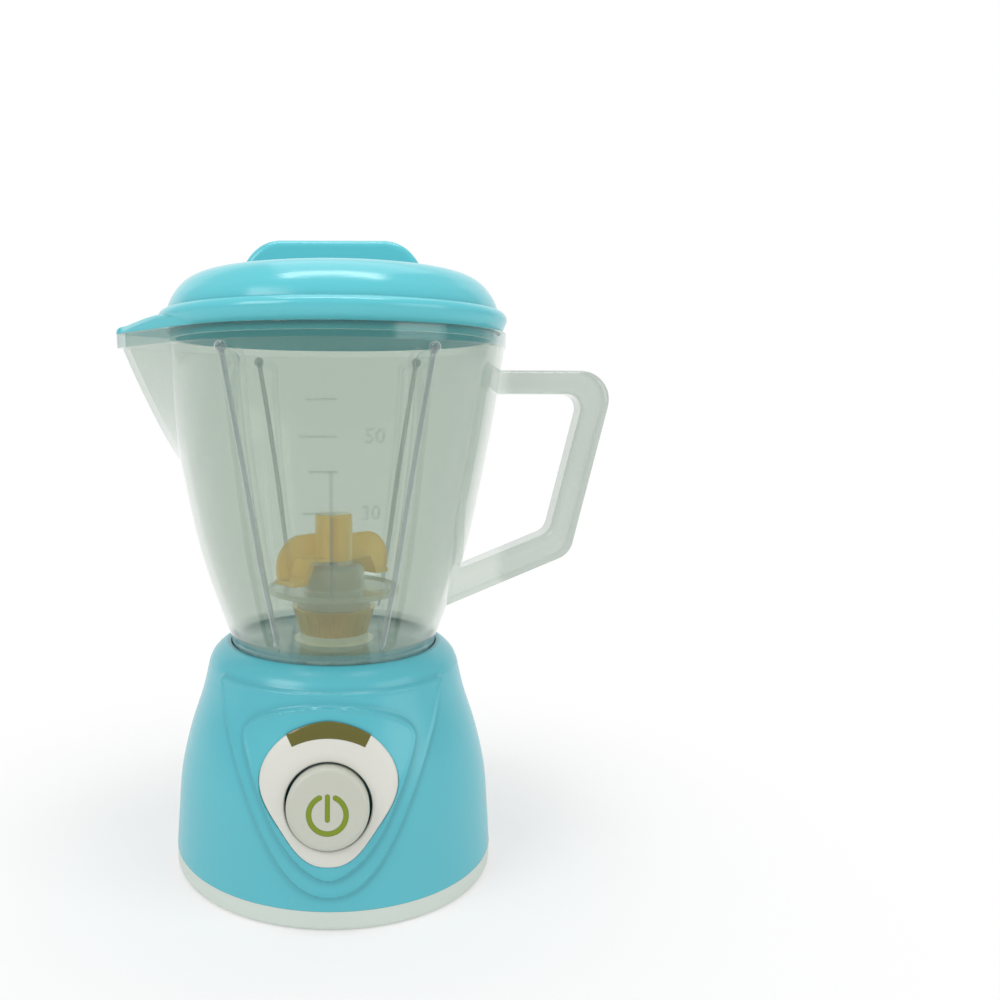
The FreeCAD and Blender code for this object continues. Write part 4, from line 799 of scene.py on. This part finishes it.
def on_panel_face(x, up, proud):
    """The point over a place of the panel's plane, at a height over the drum's side, in metres."""
    slope = Vector((0, math.sin(panel_lean), math.cos(panel_lean)))
    outward = Vector((0, -math.cos(panel_lean), math.sin(panel_lean)))
    spot = Vector((x, -panel_front, panel_height)) + slope * up
    for _ in range(settling_steps):
        reach = math.hypot(spot.x, spot.y)
        wanted = level_at(housing_side, spot.z) + proud
        spot = spot + outward * ((wanted - reach) / max(outward.y * spot.y / reach, least_slant))
    return spot * mm


def outline_reach(outline, middle, angle):
    """How far from a middle point an outline lies in a direction, clockwise from up."""
    ray = Vector((math.sin(angle), math.cos(angle)))
    best = 0.0
    for here, there in zip(outline, outline[1:] + outline[:1]):
        run = there - here
        cross = ray.x * run.y - ray.y * run.x
        if abs(cross) < 1e-9:
            continue
        gap = here - middle
        distance = (gap.x * run.y - gap.y * run.x) / cross
        share = (gap.x * ray.y - gap.y * ray.x) / cross
        if distance > 0 and -1e-6 <= share <= 1 + 1e-6:
            best = max(best, distance)
    return best


print("panel's top edge:", [round(c * 1000, 2) for c in on_panel_face(0, 23.4, panel_proud)])

# %% The panel
hole_radius = 12.4
panel_back = -2.8
rim = 0.5                  # radius of the rounded rims
rim_middle = 0.15          # how far the middle of the rounding is from both faces
panel_form = bmesh.new()
spokes = 144
rings = []
for spoke in range(spokes):
    angle = 2 * math.pi * spoke / spokes
    far = outline_reach(pick, Vector((0, 0)), angle)
    stations = [(hole_radius, panel_back), (hole_radius, -rim), (hole_radius + rim_middle, -rim_middle),
                (hole_radius + rim, 0.0)]
    stations += [(hole_radius + rim + (far - hole_radius - 2 * rim) * share, 0.0)
                 for share in (0.2, 0.4, 0.6, 0.8, 1.0)]
    stations += [(far - rim_middle, -rim_middle), (far, -rim), (far, panel_back)]
    rings.append([panel_form.verts.new(on_panel_face(math.sin(angle) * reach, math.cos(angle) * reach,
                                                     panel_proud + drop)) for reach, drop in stations])
join_rows(panel_form, rings, ends="joined")
moulded_panel = finished_piece(panel_form, "moulded_panel", off_white, "base",
                               "control_panel", sharp=50)
print("faces of the panel:", len(moulded_panel.data.polygons))

# %% The window
window_middle = Vector((0, -3.6))
window_inner = 22.4
window_half = math.radians(27.3)
window_steps = 32
window_proud = panel_proud + 0.16
window_under = panel_proud - 0.8
window_bevel = 0.1
window_overlap = 0.1       # past the panel's own outline
window_form = bmesh.new()
window_rows = []
for step in range(window_steps + 1):
    angle = -window_half + 2 * window_half * step / window_steps
    outer = outline_reach(pick, window_middle, angle) + window_overlap
    low_row, top_row = [], []
    for share in (0.0, 0.12, 0.5, 0.88, 1.0):
        reach = window_inner + (outer - window_inner) * share
        x, up = window_middle.x + math.sin(angle) * reach, window_middle.y + math.cos(angle) * reach
        edge_drop = window_bevel if share in (0.0, 1.0) or step in (0, window_steps) else 0.0
        top_row.append(window_form.verts.new(on_panel_face(x, up, window_proud - edge_drop)))
        low_row.append(window_form.verts.new(on_panel_face(x, up, window_under)))
    window_rows.append(top_row + low_row[::-1])
join_rows(window_form, window_rows)
for end_row in (window_rows[0], window_rows[-1][::-1]):
    window_form.faces.new(end_row)
moulded_window = finished_piece(window_form, "moulded_window", window_olive, "base",
                                "indicator_window", sharp=50)
print("faces of the window:", len(moulded_window.data.polygons))

# %% The button and its spring, set in the panel's hole
frame_height = 36.0        # of the button's middle in the frame, in mm
frame_front = level_at(housing_side, frame_height) + panel_proud
button_shift = Vector((0, frame_front - panel_front, panel_height - frame_height)) * mm


def shifted_copy(node_name, name, material, body):
    """A merged copy of a node, moved with the panel, that takes the node's place."""
    form = bmesh.new()
    form.from_mesh(nodes[node_name].data)
    bmesh.ops.remove_doubles(form, verts=form.verts, dist=0.000002)
    bmesh.ops.translate(form, verts=form.verts, vec=button_shift)
    return finished_piece(form, name, material, body, node_name, sharp=30)


set_button = shifted_copy("power_button", "set_button", button_white, "power_button")
set_spring = shifted_copy("button_spring", "set_spring", spring_steel,
                          nodes["button_spring"]["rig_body"])
press_joint = next(joint for joint in frame["joints"] if joint["name"] == "power_button")
press = Vector(press_joint["axis"]).normalized()
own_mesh(set_spring)
print("button moved by mm:", [round(c * 1000, 2) for c in button_shift])


# %% [markdown]
# ## Finding the skin of a piece
# Marks sit on curved plastic, so their place is asked of the plastic itself: a ray is sent in from
# outside and the point and the slope where it lands are used. That holds however the wall curves,
# and a mark can't hang in the air.

# %% A probe for the jug's wall and the button's cap
def land(piece, start, heading):
    """The point and the outward normal where a ray first meets a piece."""
    found, point, normal, _ = piece.ray_cast(start, heading)
    if not found:
        raise ValueError(f"nothing of {piece.name} lies along that ray")
    if normal.dot(heading) > 0:
        normal = -normal
    return point, normal


probe_reach = 0.2          # the ray starts this far outside
wall_radius = 0.045


def jug_wall(across, height):
    """The jug's front wall at a distance to the right of its middle, measured round the wall."""
    turn = across / wall_radius
    outward = Vector((math.sin(turn), -math.cos(turn), 0))
    start = outward * probe_reach + Vector((0, 0, height))
    return land(nodes["jug"], start, -outward)


middle_point, _ = jug_wall(0.0, 0.12)
print("front wall at 120 mm:", [round(x * 1000, 2) for x in middle_point])


# %% [markdown]
# ## The ribs in the jug's wall
# Four slim ribs stiffen the jug, two at the front and two at the back. They lean outwards on their
# way up and each ends in a small ball under the rim. They could be swept along a curve object, but
# their path is asked of the wall itself, so each one is built ring by ring where the probe lands.

# %% Four ribs that follow the wall
rib_radius = 0.00085
rib_ball = 0.0017
rib_tip = 0.35             # share of the radius at a rib's lower end
rib_low = 0.0765
rib_high = 0.1615
rib_spreads = (26.5, 28.2, 32.8)


def rib_spread(share):
    """Degrees off the middle line at a share of the rib's height, through three set values."""
    low, middle, high = rib_spreads
    return (low * (1 - share) * (1 - 2 * share) + middle * 4 * share * (1 - share)
            + high * share * (2 * share - 1))


def rib_point(middle_angle, hand, share):
    """A point of a rib's middle line, on the wall's outer face."""
    height = rib_low + (rib_high - rib_low) * share
    wall_point, _ = jug_wall(0.0, height)
    turn = math.radians(middle_angle + hand * rib_spread(share))
    reach = Vector((wall_point.x, wall_point.y)).length
    return Vector((reach * math.cos(turn), reach * math.sin(turn), height))


rib_form = bmesh.new()
rib_steps = 28
rib_sides = 12
side_turns = [2 * math.pi * side / rib_sides for side in range(rib_sides)]
for middle_angle, hand in ((-90, -1), (-90, 1), (90, -1), (90, 1)):
    spots = [rib_point(middle_angle, hand, step / rib_steps) for step in range(rib_steps + 1)]
    rings = []
    for index, spot in enumerate(spots):
        along = (spots[min(index + 1, rib_steps)] - spots[max(index - 1, 0)]).normalized()
        sideways = along.cross(Vector((spot.x, spot.y, 0)).normalized()).normalized()
        outward = sideways.cross(along)
        radius = rib_radius * (rib_tip if index == 0 else 1.0)
        rings.append([rib_form.verts.new(
            spot + (outward * math.cos(turn) + sideways * math.sin(turn)) * radius) for turn in side_turns])
    join_rows(rib_form, rings, ends="capped")
    ball = bmesh.ops.create_uvsphere(rib_form, u_segments=16, v_segments=10, radius=rib_ball)
    bmesh.ops.translate(rib_form, verts=ball["verts"], vec=spots[-1])
jug_ribs = finished_piece(rib_form, "jug_ribs", rib_clear, "jug", sharp=180)
print("faces of the ribs:", len(jug_ribs.data.polygons))


# %% [markdown]
# ## The measuring marks
# The jug has a small raised scale in its front wall: an upright line, short and long ticks at equal
# steps of volume, and two numbers. They are part of the moulding, so they are clear and only show by
# the way they catch the light. The ticks repeat, so a Geometry Nodes tree sets a bar on each of a
# row of points; the points and the slope of the wall there come from the probe.

# %% A tree that sets a bar on every point
def build_tick_tree():
    """A tree that turns points into raised bars, with the bar's sizes as named inputs."""
    tree = bpy.data.node_groups.new("raised_ticks", "GeometryNodeTree")
    for name, side, kind in (("Geometry", "INPUT", "Geometry"), ("Stroke", "INPUT", "Float"),
                             ("Proud", "INPUT", "Float"), ("Finish", "INPUT", "Material"),
                             ("Geometry", "OUTPUT", "Geometry")):
        tree.interface.new_socket(name, in_out=side, socket_type="NodeSocket" + kind)
    part = {name: tree.nodes.new(kind) for name, kind in (
        ("entry", "NodeGroupInput"), ("leave", "NodeGroupOutput"), ("bar", "GeometryNodeMeshCube"),
        ("size", "ShaderNodeCombineXYZ"), ("stretch", "ShaderNodeCombineXYZ"),
        ("width", "GeometryNodeInputNamedAttribute"), ("lean", "GeometryNodeInputNamedAttribute"),
        ("place", "GeometryNodeInstanceOnPoints"), ("real", "GeometryNodeRealizeInstances"),
        ("paint", "GeometryNodeSetMaterial"))}
    for name, kind, attribute in (("width", "FLOAT", "tick_width"), ("lean", "FLOAT_VECTOR", "tick_turn")):
        part[name].data_type = kind
        part[name].inputs["Name"].default_value = attribute
    for name, axis in (("size", 0), ("stretch", 1), ("stretch", 2)):
        part[name].inputs[axis].default_value = 1.0
    for source, out, target, into in (
            ("entry", "Proud", "size", 1), ("entry", "Stroke", "size", 2), ("size", 0, "bar", "Size"),
            ("width", "Attribute", "stretch", 0), ("entry", "Geometry", "place", "Points"),
            ("bar", "Mesh", "place", "Instance"), ("stretch", 0, "place", "Scale"),
            ("lean", "Attribute", "place", "Rotation"), ("place", "Instances", "real", "Geometry"),
            ("real", "Geometry", "paint", "Geometry"), ("entry", "Finish", "paint", "Material"),
            ("paint", "Geometry", "leave", "Geometry")):
        tree.links.new(part[source].outputs[out], part[target].inputs[into])
    return tree


def bake_tree(points_object, tree, settings, name):
    """Runs a tree on an object of points and returns the result as a plain piece."""
    modifier = points_object.modifiers.new(tree.name, "NODES")
    modifier.node_group = tree
    for item in tree.interface.items_tree:
        if item.in_out == "INPUT" and item.name in settings:
            modifier[item.identifier] = settings[item.name]
    view = bpy.context.evaluated_depsgraph_get()
    mesh = bpy.data.meshes.new_from_object(points_object.evaluated_get(view))
    bpy.data.objects.remove(points_object)
    return placed(name, mesh)


tick_tree = build_tick_tree()
print("tick tree nodes:", len(tick_tree.nodes))

# %% Ticks at equal steps of volume
tick_heights = (0.1045, 0.1183, 0.1295, 0.1387, 0.1482)
long_tick = 0.0094
short_tick = 0.0074
tick_right = 0.0026
tick_stroke = 0.0005
mark_proud = 0.0003
tick_slices = 4            # each bar is cut in slices that follow the wall's curve
slice_overlap = 1.02

tick_mesh = bpy.data.meshes.new("tick_points")
tick_spots = []
for index, height in enumerate(tick_heights):
    width = long_tick if index % 2 else short_tick
    for slice_index in range(tick_slices):
        across = tick_right - width * (slice_index + 0.5) / tick_slices
        point, normal = jug_wall(across, height)
        turn = (math.asin(-normal.z), 0.0, math.atan2(normal.x, -normal.y))
        tick_spots.append((point, turn, width / tick_slices * slice_overlap))
tick_mesh.from_pydata([spot[0] for spot in tick_spots], [], [])
widths = tick_mesh.attributes.new("tick_width", "FLOAT", "POINT")
turns = tick_mesh.attributes.new("tick_turn", "FLOAT_VECTOR", "POINT")
for index, (_, turn, width) in enumerate(tick_spots):
    widths.data[index].value = width
    turns.data[index].vector = turn
ticks = bake_tree(placed("tick_points", tick_mesh), tick_tree,
                  {"Stroke": tick_stroke, "Proud": 2 * mark_proud, "Finish": mark_clear},
                  "jug_scale_ticks")
dressed(ticks, mark_clear, "jug")
print("tick bars:", len(tick_spots), "faces:", len(ticks.data.polygons))


# %% [markdown]
# ## Wrapping flat marks round the wall
# The upright line and the numbers start as flat shapes. Each corner keeps its height, turns its
# distance from the middle into an angle round the jug, and then stands off the wall by its own
# thickness. The text is turned into a mesh before it is wrapped, so nothing is left to move.

# %% The upright line
def wrap_on_jug(form, across, height):
    """Moves a flat bmesh (x across, y up, z proud) on to the jug's front wall."""
    for vertex in form.verts:
        flat = vertex.co.copy()
        point, normal = jug_wall(across + flat.x, height + flat.y)
        vertex.co = point + normal * flat.z


line_low = 0.093
line_high = 0.1297
line_across = 0.0009
half_stroke = 0.00055
line_rows = 24
line_form = bmesh.new()
rings = []
for row in range(line_rows + 1):
    up = (line_high - line_low) * (row / line_rows - 0.5)
    rings.append([line_form.verts.new((half_stroke * right, up, mark_proud * out))
                  for right, out in ((-1, -1), (1, -1), (1, 1), (-1, 1))])
join_rows(line_form, rings, ends="capped")
wrap_on_jug(line_form, line_across, (line_low + line_high) / 2)
scale_line = finished_piece(line_form, "jug_scale_line", mark_clear, "jug")
print("faces of the scale line:", len(scale_line.data.polygons))


# %% The two numbers
def raised_number(name, words, height, size=0.0055, across=0.0117):
    """A number moulded in the wall, as a piece that rides on the jug."""
    curve = bpy.data.curves.new(name, "FONT")
    curve.body = words
    curve.size = size
    curve.align_x = "CENTER"
    curve.align_y = "CENTER"
    curve.extrude = mark_proud
    curve.resolution_u = 4
    letters = placed(name + "_curve", curve)
    view = bpy.context.evaluated_depsgraph_get()
    mesh = bpy.data.meshes.new_from_object(letters.evaluated_get(view))
    bpy.data.objects.remove(letters)
    form = bmesh.new()
    form.from_mesh(mesh)
    bmesh.ops.remove_doubles(form, verts=form.verts, dist=0.000001)
    bmesh.ops.recalc_face_normals(form, faces=form.faces)
    wrap_on_jug(form, across, height)
    form.to_mesh(mesh)
    form.free()
    return dressed(placed(name, mesh), mark_clear, "jug")


lower_number = raised_number("jug_scale_number_low", "30", tick_heights[1])
upper_number = raised_number("jug_scale_number_high", "50", tick_heights[3])
print("numbers:", lower_number.name, upper_number.name)


# %% [markdown]
# ## The sign on the button
# The off-white button carries the usual on and off sign: an open ring with a bar in its gap. On the
# toy it is printed in olive green ink. A decal picture would do, but a thin plate of ink with real
# edges stays sharp in any view and needs no picture, so the stroke is drawn as a strip with round
# ends and laid on the cap.

# %% Strokes with round ends
def rotated(vector, angle):
    """A flat vector turned to the left by an angle."""
    cosine, sine = math.cos(angle), math.sin(angle)
    return Vector((vector.x * cosine - vector.y * sine, vector.x * sine + vector.y * cosine))


def stroke_outline(path, width, cap_steps=8):
    """The outline of a stroke of that width along a path of flat points, with round ends."""
    left, right = [], []
    last = len(path) - 1
    for index, point in enumerate(path):
        along = (path[min(index + 1, last)] - path[max(index - 1, 0)]).normalized()
        side = Vector((-along.y, along.x)) * (width / 2)
        left.append(point + side)
        right.append(point - side)
    turns = [math.pi * step / cap_steps for step in range(1, cap_steps)]
    start_cap = [path[0] + rotated(left[0] - path[0], turn) for turn in turns]
    end_cap = [path[-1] + rotated(right[-1] - path[-1], turn) for turn in turns]
    return left, right, start_cap, end_cap


def ink_stroke(form, path, width, lay):
    """Adds one printed stroke to a bmesh as a closed thin plate."""
    left, right, start_cap, end_cap = stroke_outline(path, width)
    corners = {}

    def corner(point):
        key = (round(point.x, 9), round(point.y, 9))
        if key not in corners:
            corners[key] = [form.verts.new(lay(point, top)) for top in (True, False)]
        return corners[key]

    strips = [[right[index], right[index + 1], left[index + 1], left[index]]
              for index in range(len(path) - 1)]
    strips += [[left[0], *start_cap, right[0]], [right[-1], *end_cap, left[-1]]]
    for strip in strips:
        form.faces.new([corner(point)[0] for point in strip])
        form.faces.new([corner(point)[1] for point in reversed(strip)])
    outline = [*right, *end_cap, *reversed(left), *start_cap]
    for here, there in zip(outline, outline[1:] + outline[:1]):
        (top_a, low_a), (top_b, low_b) = corner(here), corner(there)
        form.faces.new((top_a, low_a, low_b, top_b))


print("strokes can be drawn")

# %% The sign, laid on the cap
up_slope = Vector((1, 0, 0)).cross(press).normalized()
if up_slope.z < 0:
    up_slope = -up_slope
outward_reach = [-(vertex.co.dot(press)) for vertex in set_button.data.vertices]
face_level = max(outward_reach)
flatness = 0.00002
face_heights = [vertex.co.dot(up_slope) for vertex, reach in zip(set_button.data.vertices, outward_reach)
                if reach > face_level - flatness]
cap_middle = up_slope * ((min(face_heights) + max(face_heights)) / 2) - press * face_level
ink_thickness = 0.00004
ink_probe = 0.01


def on_cap(point, top):
    """A point of the sign, laid on the button's cap."""
    start = cap_middle + Vector((1, 0, 0)) * point.x + up_slope * point.y - press * ink_probe
    spot, _ = land(set_button, start, press)
    return spot - press * (ink_thickness if top else -ink_thickness)


sign_middle = Vector((0, -0.0014))
ring_radius = 0.00515
ink_width = 0.00148
ring_gap = math.radians(25)
ring_steps = 56
ring_path = []
for step in range(ring_steps + 1):
    angle = ring_gap + (2 * math.pi - 2 * ring_gap) * step / ring_steps
    ring_path.append(sign_middle + Vector((math.sin(angle), math.cos(angle))) * ring_radius)
bar_path = [sign_middle + Vector((0, y)) for y in (-0.0014, 0.0018, 0.0050)]
bar_width = ink_width * 0.92
sign_form = bmesh.new()
ink_stroke(sign_form, ring_path, ink_width, on_cap)
ink_stroke(sign_form, bar_path, bar_width, on_cap)
green_ink = moulded_plastic("green_ink", tint(122, 142, 24), tint(114, 134, 20), 0.45)
power_sign = finished_piece(sign_form, "power_sign", green_ink, "power_button")
print("sign faces:", len(power_sign.data.polygons))


# %% [markdown]
# ## Floor and room
# The toy stands on a plain white sweep: a floor that curves up far behind it. The floor is pale
# plastic card that keeps the toy's soft shadow and fades to pure white away from it. The room itself
# is white to the eye, and to what the clear jug and the shiny plastic mirror, but gives much less
# light to the surfaces, so that the colours come out as they are written.

# %% The sweep
front, back, rise, wall_top = -1.6, 1.2, 0.8, 2.6
half_width = 2.4
bend_steps = 16
profile = [(front, 0.0), (back, 0.0)]
for step in range(1, bend_steps + 1):
    angle = math.pi / 2 * step / bend_steps
    profile.append((back + rise * math.sin(angle), rise - rise * math.cos(angle)))
profile.append((back + rise, wall_top))
sweep_form = bmesh.new()
join_rows(sweep_form, [[sweep_form.verts.new((x, y, z)) for x in (-half_width, half_width)]
                       for y, z in profile], around=False)
sweep = placed("white_sweep", skin_mesh(sweep_form, "white_sweep"))

sweep_finish = Finish("white_card")
card = sweep_finish.node("ShaderNodeBsdfPrincipled", None,
                         {"Base Color": tint(244, 244, 244), "Roughness": 0.6,
                          "Specular IOR Level": 0.2})
bright = sweep_finish.node("ShaderNodeEmission", None, {"Color": (1, 1, 1, 1), "Strength": 1.0})
far = sweep_finish.node("ShaderNodeVectorMath", {"operation": "LENGTH"}, {0: sweep_finish.place()}, "Value")
fade = sweep_finish.node("ShaderNodeMapRange", {"interpolation_type": "SMOOTHSTEP"},
                         {"Value": far, "From Min": 0.06, "From Max": 0.2, "To Min": 0.4, "To Max": 1.0})
camera_ray, glossy_ray, passing_ray = (sweep_finish.node("ShaderNodeLightPath", out=f"Is {kind} Ray")
                                       for kind in ("Camera", "Glossy", "Transmission"))
seen = camera_ray.either(glossy_ray).either(passing_ray)
wear(sweep, sweep_finish.done(sweep_finish.blend_shaders(seen * fade, card, bright)))
print("sweep faces:", len(sweep.data.polygons))

# %% The room
room = bpy.data.worlds.new("white_room")
room.use_nodes = True
bpy.context.scene.world = room
room_tree = room.node_tree
room_tree.nodes.clear()
room_out = room_tree.nodes.new("ShaderNodeOutputWorld")
room_light = room_tree.nodes.new("ShaderNodeBackground")
room_light.inputs["Color"].default_value = (1, 1, 1, 1)
room_ray = room_tree.nodes.new("ShaderNodeLightPath")
camera_ray, glossy_ray, passing_ray = (Signal(room_ray.outputs[f"Is {kind} Ray"])
                                       for kind in ("Camera", "Glossy", "Transmission"))
room_level = 0.5
mirrored_level = 0.6
room_strength = camera_ray.either(passing_ray).either(glossy_ray * mirrored_level).either(room_level)
room_tree.links.new(room_strength.socket, room_light.inputs["Strength"])
room_tree.links.new(room_light.outputs[0], room_out.inputs["Surface"])
print("room level:", room_level)


# %% [markdown]
# ## Lamps
# Product pictures of toys use large soft boxes: one high at the left for the shine on the lid and the
# drum, a weaker one at the right, and one above. A narrow strip over the toy adds the thin bright
# streaks on its rounded shoulders. Their power is set so that a white card at the toy comes out just
# below white.

# %% Three soft boxes and a strip
def soft_box(name, spot, size, power, depth=None):
    """An area lamp that looks at the middle of the toy: a square, or a strip of that depth."""
    lamp_data = bpy.data.lights.new(name, "AREA")
    lamp_data.shape = "RECTANGLE"
    lamp_data.size = size
    lamp_data.size_y = depth or size
    lamp_data.energy = power
    lamp = placed(name, lamp_data)
    lamp.location = spot
    aim = Vector((0, 0, 0.1)) - Vector(spot)
    lamp.rotation_mode = "QUATERNION"
    lamp.rotation_quaternion = aim.to_track_quat("-Z", "Y")
    return lamp


key_lamp = soft_box("key_lamp", (-0.75, -0.7, 0.8), 0.6, 4.6)
fill_lamp = soft_box("fill_lamp", (0.9, -0.55, 0.45), 0.7, 2.6)
top_lamp = soft_box("top_lamp", (0.05, 0.25, 1.0), 0.7, 1.6)
strip_lamp = soft_box("strip_lamp", (0.0, -0.12, 1.05), 0.7, 2.4, 0.12)
print("lamps:", [lamp.name for lamp in (key_lamp, fill_lamp, top_lamp, strip_lamp)])


# %% [markdown]
# ## Camera
# The toy is seen from the height of its jug's rim and slightly down, close up with a fairly wide
# lens. The picture's middle is shifted, because the toy fills only the left part of a wider frame.

# %% The view
sensor_width = 36.0
focal_share = 0.894        # focal length as a share of the sensor's width
camera_data = bpy.data.cameras.new("camera")
camera_data.sensor_width = sensor_width
camera_data.lens = sensor_width * focal_share
camera_data.shift_x = 0.138
camera_data.shift_y = 0.086
camera_data.clip_start = 0.01
camera = placed("camera", camera_data)
camera.location = (0.0098, -0.2815, 0.1466)
pitch_down = math.radians(11.4)
heading = math.radians(0.2)
roll = math.radians(-0.26)
camera.rotation_mode = "XYZ"
camera.rotation_euler = (math.pi / 2 - pitch_down, roll, heading)
bpy.context.scene.camera = camera
bpy.context.scene.view_settings.view_transform = "Standard"
print("camera at", [round(x, 4) for x in camera.location])
